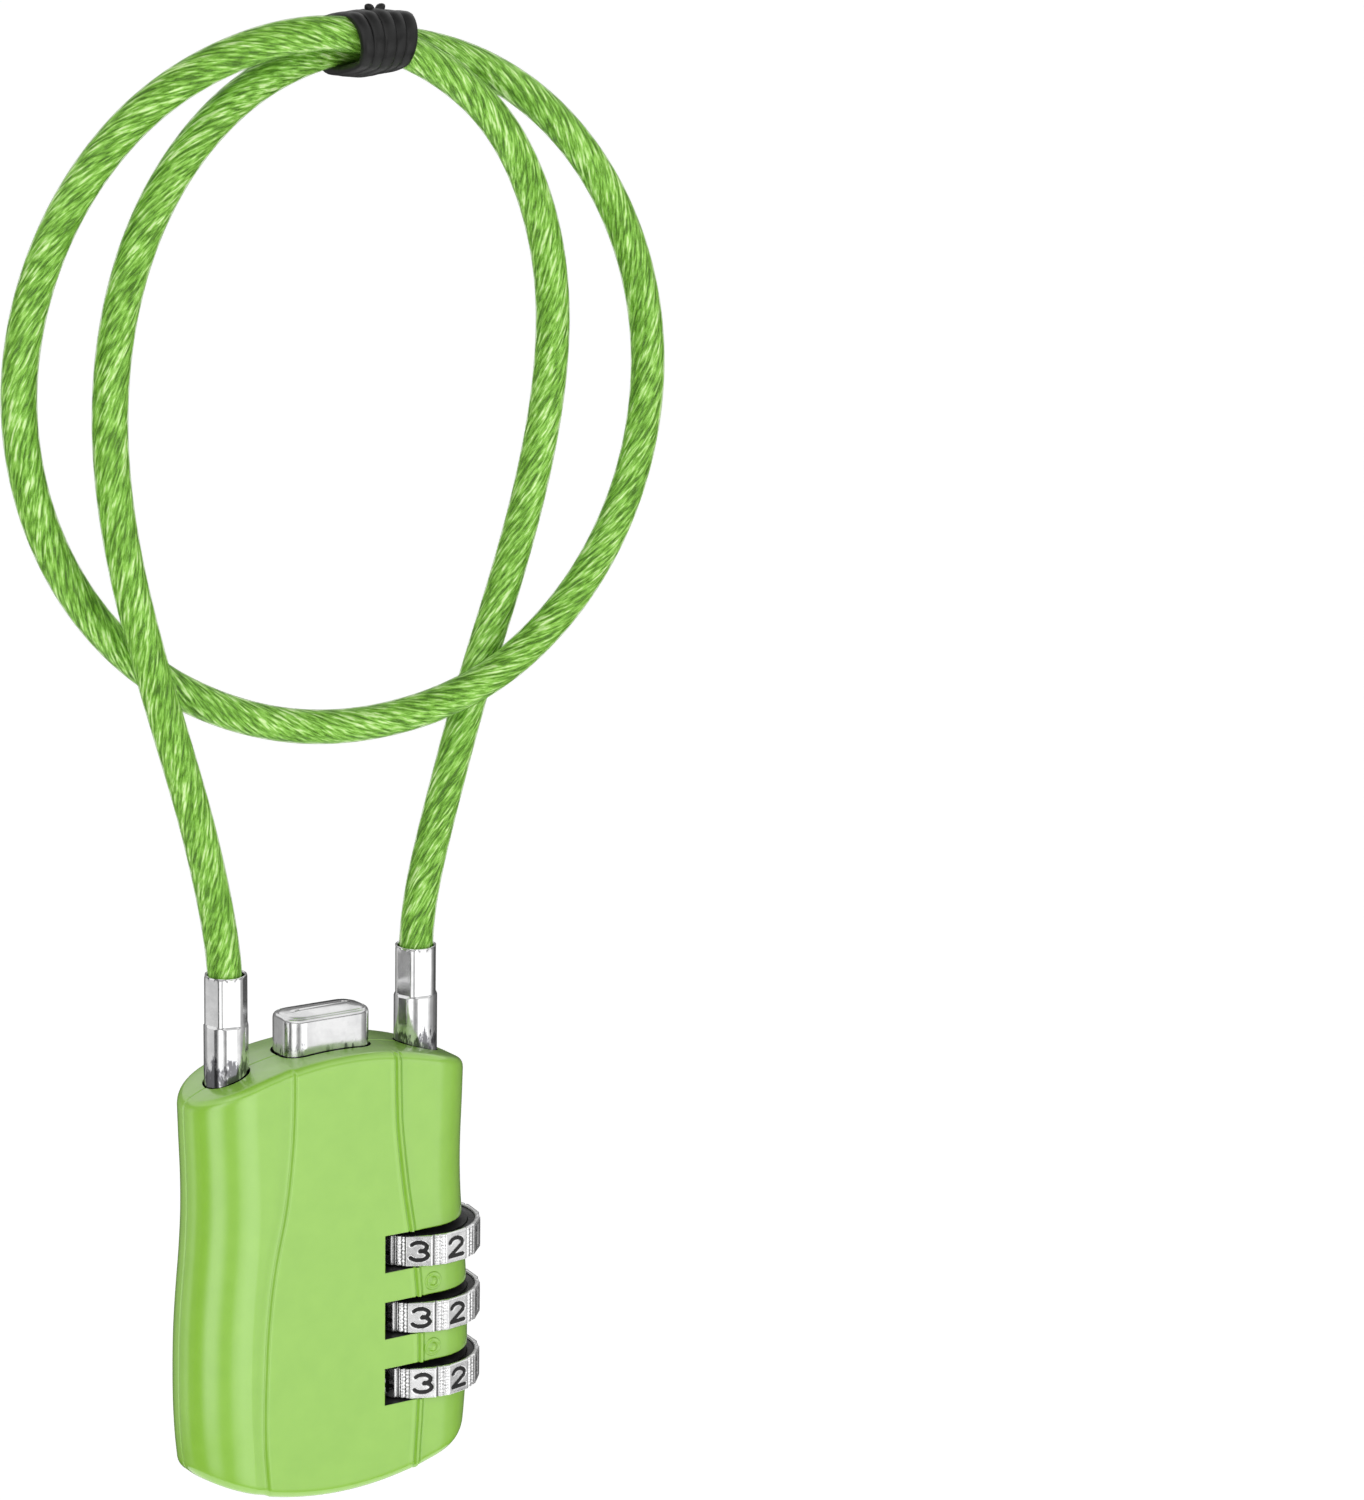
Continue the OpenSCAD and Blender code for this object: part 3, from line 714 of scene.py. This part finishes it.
def shell(front):
    """One closed half of the case, before its pockets are cut."""
    g = shell_points(front)
    n_r, n_c, _ = g.shape
    sign = -1 if front else 1
    points = list(g.reshape(-1, 3))
    faces = grid_faces(n_r, n_c)

    def at(r, c):
        return r * n_c + c

    loops = {}
    for r in (0, n_r - 1):
        span = g[r, BAND, 1] - g[r, 0, 1]
        share = [(g[r, k, 1] - g[r, 0, 1]) / span for k in range(BAND + 1)]
        lines = {}
        for c in range(BAND, n_c - BAND):
            if c == BAND:
                lines[c] = [at(r, k) for k in range(BAND + 1)]
            elif c == n_c - 1 - BAND:
                lines[c] = [at(r, n_c - 1 - k) for k in range(BAND + 1)]
            else:
                line = []
                for k in range(BAND):
                    seam, rim = sign * SEAM_Y, g[r, c, 1]
                    points.append(np.array([g[r, c, 0], seam + (rim - seam) * share[k], g[r, c, 2]]))
                    line.append(len(points) - 1)
                lines[c] = line + [at(r, c)]
        for c in range(BAND, n_c - 1 - BAND):
            for k in range(BAND):
                faces.append((lines[c][k], lines[c + 1][k], lines[c + 1][k + 1], lines[c][k + 1]))
        loops[r] = [lines[c][0] for c in range(BAND + 1, n_c - 1 - BAND)]
    loop = [at(0, 0)] + loops[0] + [at(0, n_c - 1)] + [at(r, n_c - 1) for r in range(1, n_r - 1)]
    loop += [at(n_r - 1, n_c - 1)] + loops[n_r - 1][::-1] + [at(n_r - 1, 0)]
    loop += [at(r, 0) for r in range(n_r - 2, 0, -1)]
    ring = np.array([points[i] for i in loop])
    ahead = np.roll(ring, -1, 0) - np.roll(ring, 1, 0)
    normal = np.stack([-ahead[:, 2], ahead[:, 0]], 1)
    normal /= np.linalg.norm(normal, axis=1)[:, None]
    centre = ring.mean(0)
    if ((ring[:, [0, 2]] - centre[[0, 2]]) * normal).sum() > 0:
        normal = -normal
    first = len(points)
    # the seam's groove slopes inwards to the parting face
    for i, pt in enumerate(ring):
        points.append(np.array([pt[0] + 0.14 * normal[i, 0], sign * 0.02, pt[2] + 0.14 * normal[i, 1]]))
    n = len(loop)
    for i in range(n):
        j = (i + 1) % n
        faces.append((loop[i], loop[j], first + j, first + i))
    faces.append(tuple(range(first, first + n)))
    return np.array(points), faces


def box_cutter(a, b):
    (x0, y0, z0), (x1, y1, z1) = a, b
    p = [(x, y, z) for z in (z0, z1) for x, y in ((x0, y0), (x1, y0), (x1, y1), (x0, y1))]
    return p, [(3, 2, 1, 0), (4, 5, 6, 7), (0, 1, 5, 4), (1, 2, 6, 5), (2, 3, 7, 6), (3, 0, 4, 7)]


def prism_cutter(outline, low, high):
    n = len(outline)
    p = [(x, y, low) for x, y in outline] + [(x, y, high) for x, y in outline]
    return p, [tuple(range(n))[::-1], tuple(range(n, 2 * n))] + [
        (k, (k + 1) % n, n + (k + 1) % n, n + k) for k in range(n)]


def post_cutter(x, low, high, r, n=48):
    return prism_cutter(circle(r, n, x), low, high)


def across_cutter(x, z, low, high, r):
    n = 32
    pts = [(px, y, pz) for y in (low, high) for px, pz in circle(r, n, x, z)]
    return pts, [tuple(range(n)), tuple(range(2 * n - 1, n - 1, -1))] + [
        (n + k, n + (k + 1) % n, (k + 1) % n, k) for k in range(n)]


BUTTON_L, BUTTON_W, BUTTON_R, BUTTON_X = 4.95, 2.65, 2, -0.15  # half sizes, corners, centre


def button_outline(grow, r, n):
    """The button's rounded rectangle, grown or shrunk, with n + 1 points to a corner of radius r."""
    l, w = BUTTON_L + grow, BUTTON_W + grow
    pts = []
    for cx, cy, start in ((l - r, w - r, 0), (r - l, w - r, 90), (r - l, r - w, 180), (l - r, r - w, 270)):
        for k in range(n + 1):
            a = math.radians(start + 90 * k / n)
            pts.append((cx + r * math.cos(a) + BUTTON_X, cy + r * math.sin(a)))
    return pts


RIVETS = ((-10.6, -13.4), (8, -12.1), (-9, -39.3), (5.5, -38.8))


def cutters():
    """The pockets to cut, after part.scad's, each with the look of its walls: the black walls are painted
    shade, and the rivet seats keep the paint.
    """
    # painted shade: the walls of these pockets in the case are given black
    dark = [
        prism_cutter(button_outline(0.25, BUTTON_R + 0.25, 12), 0.9, 9),
        box_cutter((-7.2, -3.3, -16), (6.8, 3.3, 1.5)),
        box_cutter((6, -2.5, -11), (DIAL_X, 2.5, -5.4)),
        post_cutter(DIAL_X, -11, -5.41, 2.5), post_cutter(DIAL_X, -40.1, -5.42, 1.8),
        box_cutter((-9.9, -1.9, -6.2), (-7, 1.9, -4.4)), box_cutter((-8.6, -2.6, -9.5), (-7.01, -0.6, -3.4)),
        post_cutter(-DIAL_X, 0.8, 6, 2.42), post_cutter(-DIAL_X, -9, 0.81, 1.6),
        post_cutter(DIAL_X, 0.8, 6, 2.36), post_cutter(DIAL_X, -4.3, 0.81, 1.2),
        post_cutter(DIAL_X, -4.29, -1.9, 2.4),
        post_cutter(DIAL_X, LEVELS[2] - 4.5, LEVELS[0] + 4.75, 3.0),
        box_cutter((2.3, -1.4, -35.2), (5, 1.4, -15.9)), box_cutter((-13.2, -3.6, -36.8), (2.4, 3.6, -18)),
    ]
    for z in LEVELS:
        dark.append(post_cutter(DIAL_X, z - WINDOW_LOW, z + WINDOW_HIGH, 7.3, 96))
        dark.append(box_cutter((WINDOW_X, -9, z - WINDOW_LOW - 0.001), (22, 9, z + WINDOW_HIGH + 0.001)))
        dark.append(post_cutter(DIAL_X, z - 2.75, z + 2.75, 3.5))
    painted = []
    for x, z in RIVETS:
        dark.append(across_cutter(x, z, -3.7, 4.45, 0.9))
        painted.append(across_cutter(x, z, 4.3, 7, 1.55))
    return [(p, f, BLACK_AND_POCKET_SHADE) for p, f in dark] + [(p, f, PAINT) for p, f in painted]


def make_case():
    bag = bpy.data.collections.new("cutters")
    SCENE.collection.children.link(bag)
    for i, (p, f, look) in enumerate(cutters()):
        o = add_mesh(f"cutter_{i}", p, f, look, convert=False)
        SCENE.collection.objects.unlink(o)
        bag.objects.link(o)
    shells = {}
    for name, front in (("case_front", True), ("case_rear", False)):
        points, faces = shell(front)
        raw = add_mesh(name + "_raw", points, faces, PAINT, convert=False)
        cut = raw.modifiers.new("pockets", "BOOLEAN")
        cut.operation, cut.solver = "DIFFERENCE", "MANIFOLD"
        cut.operand_type, cut.collection = "COLLECTION", bag
        cut.material_mode = "TRANSFER"
        bpy.context.view_layer.update()
        depsgraph = bpy.context.evaluated_depsgraph_get()
        mesh = bpy.data.meshes.new_from_object(raw.evaluated_get(depsgraph))
        mesh.name = name
        mesh.transform(Matrix.Scale(0.001, 4) @ Matrix.Translation((0, 0, -HANG)))
        finish_mesh(mesh, 32)
        obj = bpy.data.objects.new(name, mesh)
        SCENE.collection.objects.link(obj)
        shells[name] = obj
        bpy.data.objects.remove(raw)
    for o in list(bag.objects):
        bpy.data.objects.remove(o)
    bpy.data.collections.remove(bag)
    return shells


SHELLS = make_case()
for name, node in (("case_front", "front_shell"), ("case_rear", "rear_shell")):
    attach(SHELLS[name], "lock_case")
    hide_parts(node)


MARK_X = 9.95


def reading_mark(name, z):
    """A small dome inside a shallow ring, on the front flank between two dials."""
    prof = [(0.0001, 0.42), (0.16, 0.4), (0.32, 0.32), (0.45, 0.19), (0.53, 0.06), (0.6, 0.02), (0.7, 0.03),
            (0.8, 0.1), (0.88, 0.13), (0.95, 0.1), (1.02, -0.02), (1.03, -0.4), (0.0001, -0.4)]
    pts, faces = lathe(prof, 40)
    pts = np.stack([MARK_X + pts[:, 0], -T - PANEL_RISE - pts[:, 2], z + pts[:, 1]], 1)
    return add_mesh(name, pts, faces, PAINT, 60)


for name, z in (("mark_upper", -21.7), ("mark_lower", -28.9)):
    mark = reading_mark(name, z)
    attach(mark, "lock_case")


# ---------------- button
BUTTON_TOP = 7.71  # height of the top's edge, inside its rim
RIM_INSET = 0.7    # how far in that edge lies


def button_top(x, y):
    """Height of the faintly domed top, with its shallow groove along the middle."""
    across, along = y / (BUTTON_W - RIM_INSET), (x - BUTTON_X) / (BUTTON_L - RIM_INSET)
    z = BUTTON_TOP + 0.45 * (1 - along ** 2) * (1 - across ** 2)
    groove = np.exp(-(((y - 0.25 * np.sin(x * 0.5)) / 0.1) ** 2))
    return z - 0.1 * groove * smooth((3.6 - np.abs(x - BUTTON_X)) / 0.6)


def make_button():
    """A cap with rounded corners, a bevelled rim and a faintly domed top with one plain groove along it."""
    # inset and height of the rings up the sides and over the rim
    sides = [(0, -0.8), (0, 1.2), (0, 3), (0, 5), (0, 6.6), (0, 7), (0.02, 7.2), (0.07, 7.35), (0.16, 7.48),
             (0.27, 7.56), (0.34, 7.58), (0.38, 7.53), (0.42, 7.53), (0.48, 7.6), (0.56, 7.66),
             (RIM_INSET, BUTTON_TOP)]
    corner = 25  # steps round a corner

    def ring(inset):
        r = min(max(BUTTON_R - inset * 0.7, 0.3), BUTTON_W - inset)
        return np.array(button_outline(-inset, r, corner))

    pts = [(x, y, z) for inset, z in sides for x, y in ring(inset)]
    # over the top the rings close in on a line along the middle
    edge = ring(RIM_INSET)
    spine = np.stack([np.clip(edge[:, 0], BUTTON_X - 2.6, BUTTON_X + 2.6), 0 * edge[:, 1]], 1)
    shares = (0.08, 0.17, 0.27, 0.38, 0.5, 0.62, 0.74, 0.85, 0.93, 0.975, 0.995)
    for f in shares:
        pts += [(x, y, float(button_top(x, y))) for x, y in edge * (1 - f) + spine * f]
    cap = pts, capped_faces(len(sides) + len(shares), 4 * (corner + 1))
    flange = box_cutter((-6.6, -3, -0.8), (6, 3, 1.2))  # keeps it in the case
    return add_mesh("button_cap", *merged((cap, flange)), CHROME, 28)


button = make_button()
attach(button, "release")
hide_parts("release_button")


# ---------------- ferrules
def make_ferrule(name, x, spin):
    """A plated sleeve: round and faintly faceted below, crimped to flats above, open at the top."""
    around, low, step, top = 160, 0.8, 7.7, MOUTH  # step: where the crimped part begins
    heights = [low, low + 0.12, 2, 3.5, 5, 6.4, 7.0, step - 0.14, step - 0.05, step + 0.03, step + 0.12,
               step + 0.3, 8.4, 9.5, 10.6, 11.5, 12.2, top - 0.22, top - 0.1, top - 0.03, top]
    pts = []
    for z in heights:
        press = float(smooth((z - step + 0.14) / 0.28))
        lip = float(smooth((z - top + 0.25) / 0.25))
        for k in range(around):
            a = TAU * k / around
            fold = (a / (TAU / 6)) % 1.0 - 0.5
            flat = 1 / math.cos(fold * TAU / 6)
            r = min(2.2 * flat, 2.26) * (1 - press) + min(2.0 * flat, 2.2) * press
            if z > top - 0.25:
                r = r * (1 - lip) + 2.12 * lip
            if z < low + 0.1:
                r -= 0.1
            pts.append((x + r * math.cos(a + spin), r * math.sin(a + spin), z))
    # over the mouth's edge and down the bore
    bore = ((2.02, top + 0.02), (1.92, top - 0.03), (1.86, top - 0.12), (1.85, top - 0.6), (1.85, 7),
            (0.02, 7))
    for r, z in bore:
        pts += [(px, py, z) for px, py in circle(r, around, x, 0, spin)]
    return add_mesh(name, pts, capped_faces(len(heights) + len(bore), around), CHROME, 24)


for name, x, body, node, spin in (("ferrule_free", -DIAL_X, "free_end", "free_ferrule", 0.812),
                                  ("ferrule_captive", DIAL_X, "lock_case", "captive_ferrule", 0.908)):
    sleeve = make_ferrule(name, x, spin)
    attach(sleeve, body)
    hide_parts(node)


# ---------------- dials
def arc(cx, cy, rx, ry, a0, a1, n):
    turns = [math.radians(a0 + (a1 - a0) * k / n) for k in range(n + 1)]
    return [(cx + rx * math.cos(a), cy + ry * math.sin(a)) for a in turns]


# each digit's strokes in a box about 2 wide and 2 high
DIGITS = {
    0: [arc(0, 0, 0.78, 1.0, 0, 360, 28)],
    1: [[(-0.35, 0.62), (0.12, 1.0), (0.12, -1.0)]],
    2: [arc(0, 0.42, 0.78, 0.58, 165, -35, 14) + [(-0.8, -0.98), (0.85, -0.98)]],
    3: [arc(-0.02, 0.48, 0.78, 0.52, 150, -80, 14), arc(-0.02, -0.47, 0.88, 0.53, 80, -155, 16)],
    4: [[(0.4, -1.0), (0.4, 1.0), (-0.85, -0.4), (0.9, -0.4)]],
    5: [[(0.7, 0.98), (-0.6, 0.98), (-0.7, 0.1)] + arc(-0.05, -0.36, 0.85, 0.62, 130, -150, 16)],
    6: [arc(0.55, 0.0, 1.3, 1.0, 95, 180, 10), arc(0, -0.4, 0.78, 0.6, 0, 360, 22)],
    7: [[(-0.8, 0.98), (0.8, 0.98), (-0.25, -1.0)]],
    8: [arc(0, 0.5, 0.62, 0.48, 0, 360, 20), arc(0, -0.45, 0.8, 0.55, 0, 360, 22)],
    9: [arc(0, 0.4, 0.78, 0.6, 0, 360, 22), arc(-0.55, 0.0, 1.3, 1.0, 0, -85, 10)],
}
DIGIT_W, DIGIT_H, STROKE = 1.06, 0.96, 0.215  # scales of the box above, half a stroke's width in mm


def ink_distance(digit, u, v):
    """Distance in mm of points on a plate from the digit's strokes."""
    best = np.full(u.shape, 9.0)
    for line in DIGITS[digit]:
        for (ax, ay), (bx, by) in zip(line, line[1:]):
            ax, bx, ay, by = ax * DIGIT_W, bx * DIGIT_W, ay * DIGIT_H, by * DIGIT_H
            dx, dy = bx - ax, by - ay
            t = np.clip(((u - ax) * dx + (v - ay) * dy) / (dx * dx + dy * dy + 1e-12), 0, 1)
            best = np.minimum(best, np.hypot(u - ax - t * dx, v - ay - t * dy))
    return best


PLATE_HALF = 1.46


def dial_mesh(name, z0, turn_deg):
    """A ring of ten flat engraved plates with ribbed strips between them, sunk faces and its bore."""
    flat_r, hi = 6.75, 1.65  # to the plates from the axis, and half the height
    half_angle = math.atan2(PLATE_HALF, flat_r)
    edge_r = math.hypot(PLATE_HALF, flat_r)
    flat = np.linspace(-PLATE_HALF, PLATE_HALF, 41)
    strip = np.linspace(0, 1, 17)[1:-1]
    rim = [(1.41, 0.06), (1.45, 0.06), (1.47, 0.0), (1.55, 0.0), (1.61, 0.05), (hi, 0.14)]
    heights = [(-z, i) for z, i in reversed(rim)] + [(z, 0.0) for z in np.linspace(-1.38, 1.38, 45)] + rim
    zs = np.array([h for h, _ in heights])[:, None]
    inset = np.array([i for _, i in heights])[:, None]
    xs, ys, ink_and_shade_parts = [], [], []
    for k in range(10):
        digit = (10 - k) % 10  # digits run down as the ring turns from +X towards +Y
        u = flat[None, :] + 0 * zs
        d = ink_distance(digit, u, zs + 0 * u)
        d = np.where(np.abs(zs) <= 1.42, d, 9.0)
        shoulder = np.maximum(0.0, np.abs(u) - PLATE_HALF + 0.12)
        out = flat_r - inset - 0.9 * shoulder - 0.10 * smooth((STROKE + 0.05 - d) / 0.1)
        mid = TAU * k / 10
        xs.append(out * math.cos(mid) - u * math.sin(mid))
        ys.append(out * math.sin(mid) + u * math.cos(mid))
        ink_and_shade_parts.append(smooth((STROKE + 0.045 - d) / 0.09))
        a = strip[None, :] + 0 * zs
        ang = mid + half_angle + a * (TAU / 10 - 2 * half_angle)
        groove = 0.25 * bell(a - 0.13, 0.09) + 0.12 * bell(a - 0.66, 0.05)
        rough = 0.02 * np.sin(zs * 17 + 5 * np.sin(9 * a + k)) * np.sin(23 * a + 3 * zs + k)
        r = edge_r - inset - groove - 0.12 + rough * (np.abs(zs) < 1.4)
        xs.append(r * np.cos(ang))
        ys.append(r * np.sin(ang))
        # painted shade: black laid into each strip's deeper groove
        ink_and_shade_parts.append(0.6 * bell(a - 0.13, 0.11) + 0 * zs)
    x, y, ink_and_shade = (np.concatenate(v, 1) for v in (xs, ys, ink_and_shade_parts))
    n = x.shape[1]
    pts = np.stack([x, y, zs + 0 * x], 2)
    angle = np.arctan2(y[0], x[0])
    rings = [pts]
    top = [(6.5, hi), (6.38, hi - 0.02), (6.32, hi - 0.1), (6.28, hi - 0.3), (6.2, hi - 0.34),
           (5.9, hi - 0.34), (5.62, hi - 0.34), (5.56, hi - 0.36), (5.52, hi - 0.4)]
    for group in (top, [(r, -z) for r, z in reversed(top)]):
        for r, z in group:
            rings.append(np.stack([r * np.cos(angle), r * np.sin(angle), z + 0 * angle], 1)[None])
    pts = np.concatenate(rings, 0)
    rows = pts.shape[0]
    dark = [0, 0, 0.3, 1, 1, 1, 1, 1, 1]  # the sunk inner ring of each face is black
    faced = np.repeat(np.array(dark + dark[::-1], dtype=float)[:, None], n, 1)
    ink_and_shade = np.concatenate([ink_and_shade, faced], 0)
    flatpts = pts.reshape(-1, 3)
    t = math.radians(turn_deg)
    spun = np.stack([flatpts[:, 0] * math.cos(t) - flatpts[:, 1] * math.sin(t) + DIAL_X,
                     flatpts[:, 0] * math.sin(t) + flatpts[:, 1] * math.cos(t), flatpts[:, 2] + z0], 1)
    return add_mesh(name, spun, closed_faces(rows, n), DIAL, 35, fields={"ink_and_shade": ink_and_shade})


for name, node, body, z, t in (("dial_ring_upper", "dial_1", "dial_a", LEVELS[0], TURNS[0]),
                               ("dial_ring_middle", "dial_2", "dial_b", LEVELS[1], TURNS[1]),
                               ("dial_ring_lower", "dial_3", "dial_c", LEVELS[2], TURNS[2])):
    ring = dial_mesh(name, z, t)
    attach(ring, body)
    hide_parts(node)


# ---------------- tie
def tie_path(x, lean, grow):
    """A loop round both strands: a stadium in the YZ plane, leaning a little along X."""
    a, b = np.array(TIE_FRONT), np.array(TIE_BACK)
    axis = (b - a) / np.linalg.norm(b - a)
    side = np.array([-axis[1], axis[0]])
    mid, half, r = (a + b) / 2, np.linalg.norm(b - a) / 2, CABLE_D / 2 + grow
    out = []
    steps = 72
    for k in range(steps):
        ang = TAU * (k / steps)
        c, s = math.cos(ang), math.sin(ang)
        flat = half * math.copysign(min(1.0, abs(c) * 1.9), c)
        q = mid + axis * (flat + r * c) + side * r * s * (1 + 0.04 * abs(c))
        out.append((x + lean * s, q[0], q[1]))
    return np.array(out)


def band_loop(path, wide, thick):
    """A flattened band along a closed path; its width lies along X."""
    n, around = len(path), 16
    ahead = np.roll(path, -1, 0) - np.roll(path, 1, 0)
    ahead /= np.linalg.norm(ahead, axis=1)[:, None]
    across = np.array([1.0, 0, 0]) - ahead * ahead[:, :1]
    across /= np.linalg.norm(across, axis=1)[:, None]
    out = np.cross(ahead, across)
    pts = []
    for i in range(n):
        for k in range(around):
            a = TAU * k / around
            c, s = math.cos(a), math.sin(a)
            w = wide / 2 * math.copysign(abs(c) ** 0.8, c)
            t = thick / 2 * math.copysign(abs(s) ** 0.9, s)
            pts.append(path[i] + across[i] * w + out[i] * t)
    faces = grid_faces(n, around, True)
    last = (n - 1) * around
    faces += [(last + k, last + (k + 1) % around, (k + 1) % around, k) for k in range(around)]
    return pts, faces


def make_tie():
    """Five turns side by side and a wide one over them."""
    # place along X, lean, gap to the strands, width
    turns = ((2.45, -0.35, 0.78, 1.5), (3.65, -0.1, 0.92, 1.5), (4.85, 0.1, 1.02, 1.6),
             (6.1, 0.3, 0.86, 1.5), (7.35, 0.45, 0.74, 1.5), (5.5, 0.9, 0.62, 3.2))
    bands = [band_loop(tie_path(x, lean, grow), wide, 1.05) for x, lean, grow, wide in turns]
    return add_mesh("tie_wraps", *merged(bands), RUBBER, 60)


def make_knot():
    """The tie's small double knot on top."""
    p, f = lathe([(0.0001, 1.05), (0.3, 1.0), (0.52, 0.82), (0.62, 0.5), (0.6, 0.2), (0.68, -0.2),
                  (0.7, -0.7), (0.0001, -0.8)], 24)
    x, y, z = p[:, 0] * 0.8, p[:, 1] * 0.8 - 1.2, p[:, 2] * 0.75 + 108.1
    bumps = [(np.stack([x + p[:, 2] * tilt + x0, y, z], 1), f) for x0, tilt in ((4.75, -0.2), (5.75, 0.25))]
    return add_mesh("tie_knot", *merged(bumps), RUBBER, 60)


for piece in (make_tie(), make_knot()):
    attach(piece, "lock_case")
    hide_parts("cable_tie")


# ---------------- carried-over CAD nodes
KEPT = {
    STEEL: ("case_rivet_1", "case_rivet_2", "case_rivet_3", "case_rivet_4", "guide_plate", "latch_bolt",
            "slider_plate", "spindle"),
    PLATED: ("anchor_pin", "locking_pin"),
    SPRING: ("anchor_clip", "click_spring", "button_spring"),
    BRASS: ("spacer_top", "spacer_upper", "spacer_lower", "spacer_bottom"),
    BLACK_AND_POCKET_SHADE: ("dial_core_1", "dial_core_2", "dial_core_3"),
}
for look, names in KEPT.items():
    for n in names:
        NODES[n].data.materials.clear()
        NODES[n].data.materials.append(look)


# ---------------- studio
FLOOR_Z, FLOOR_HALF = -0.7, 24


def make_floor():
    n = 40
    side = np.linspace(-FLOOR_HALF, FLOOR_HALF, n)
    pts = np.array([(x, y, FLOOR_Z) for y in side for x in side])
    k = Look("pale_floor", roughness=0.9, emission_color=(1, 1, 1, 1), emission_strength=0.42)
    k.colour(k.noise(3, 2), (0.3, (0.93, 0.93, 0.93)), (0.7, (0.95, 0.95, 0.95)))
    obj = add_mesh("floor", pts, grid_faces(n, n), k.mat, convert=False)


# brightness of the soft boxes and flags round the lock, by compass direction in degrees
TENT = [(0, 0.2), (30, 0.1), (60, 0.05), (90, 0.1), (112, 0.35), (138, 0.45), (148, 0.75), (157, 0.75),
        (167, 0.2), (194, 0.1), (207, 1.5), (222, 1.5), (234, 0.35), (247, 0.35), (256, 1.2), (270, 1.7),
        (285, 1.6), (294, 1.0), (313, 1.0), (324, 0.5), (342, 0.38), (352, 0.2)]
# brightness overhead, by height as a share from 0 (nadir) to 1 (zenith)
DOME = [(0.5, 0.26), (0.64, 0.26), (0.69, 1.0), (0.85, 0.9), (0.97, 0.3)]
TENT_TOP = 1.8  # the strength that both are shares of
TENT_R = 0.95


def make_tent():
    """Soft boxes and dark flags round the lock that only its shiny parts mirror."""
    rows, cols = 33, 64
    pts = [(TENT_R * math.cos(e) * math.cos(a), TENT_R * math.cos(e) * math.sin(a),
            TENT_R * math.sin(e) - 0.08)
           for e in np.linspace(-1.5, 1.5, rows) for a in TAU * np.arange(cols) / cols]
    k = Look("soft_box_tent")
    k.tree.nodes.remove(k.p)
    glow = k.node("Emission", Strength=TENT_TOP)
    k.join(glow.outputs[0], k.out.inputs[0])
    round_about = k.node("TexGradient", gradient_type="RADIAL")
    k.join(k.place, round_about.inputs[0])
    stops = sorted((((a + 180) % 360) / 360, v / TENT_TOP) for a, v in TENT)
    sides = k.ramp(round_about.outputs[0], *stops)
    rise = k.height(-0.9, 0.9)
    above = k.ramp(rise, (0.48, 0.0), (0.54, 1.0))
    dome = k.ramp(rise, *[(at, v / TENT_TOP) for at, v in DOME])
    lower = k.both("VectorMath", "MULTIPLY", sides, k.ramp(rise, (0.14, 0.1), (0.24, 1.0)))
    k.join(k.mixed(above, lower, dome), glow.inputs[0])
    k.mat.cycles.emission_sampling = "NONE"
    obj = add_mesh("studio_tent", pts, grid_faces(rows, cols, True), k.mat, convert=False)
    obj.visible_camera = obj.visible_diffuse = obj.visible_shadow = obj.visible_transmission = False
    obj.visible_volume_scatter = False


def area(name, place, target, size, size_y, power):
    data = bpy.data.lights.new(name, "AREA")
    data.energy = power
    data.shape = "RECTANGLE"
    data.size, data.size_y = size, size_y
    obj = bpy.data.objects.new(name, data)
    SCENE.collection.objects.link(obj)
    at = Vector(place)
    turn = (Vector(target) - at).to_track_quat("-Z", "Y")
    obj.matrix_world = Matrix.Translation(at) @ turn.to_matrix().to_4x4()


make_floor()
make_tent()
MIDDLE = (0, 0, -0.09)
area("key", (-0.8, -0.8, 0.3), MIDDLE, 0.6, 0.9, 4)
area("fill", (0.75, -0.9, 0.1), MIDDLE, 0.6, 0.9, 3)
world = bpy.data.worlds.new("studio")
SCENE.world = world
world.use_nodes = True
tree = world.node_tree
sky = tree.nodes["Background"]
sky.inputs[1].default_value = 1.0
where = tree.nodes.new("ShaderNodeTexCoord")
split_sky = tree.nodes.new("ShaderNodeSeparateXYZ")
shade = tree.nodes.new("ShaderNodeValToRGB")
below, above = shade.color_ramp.elements
below.color, below.position = (1, 1, 1, 1), 0.1
above.color = (0.42, 0.42, 0.42, 1)
tree.links.new(where.outputs["Generated"], split_sky.inputs[0])
tree.links.new(split_sky.outputs[2], shade.inputs[0])
tree.links.new(shade.outputs[0], sky.inputs[0])
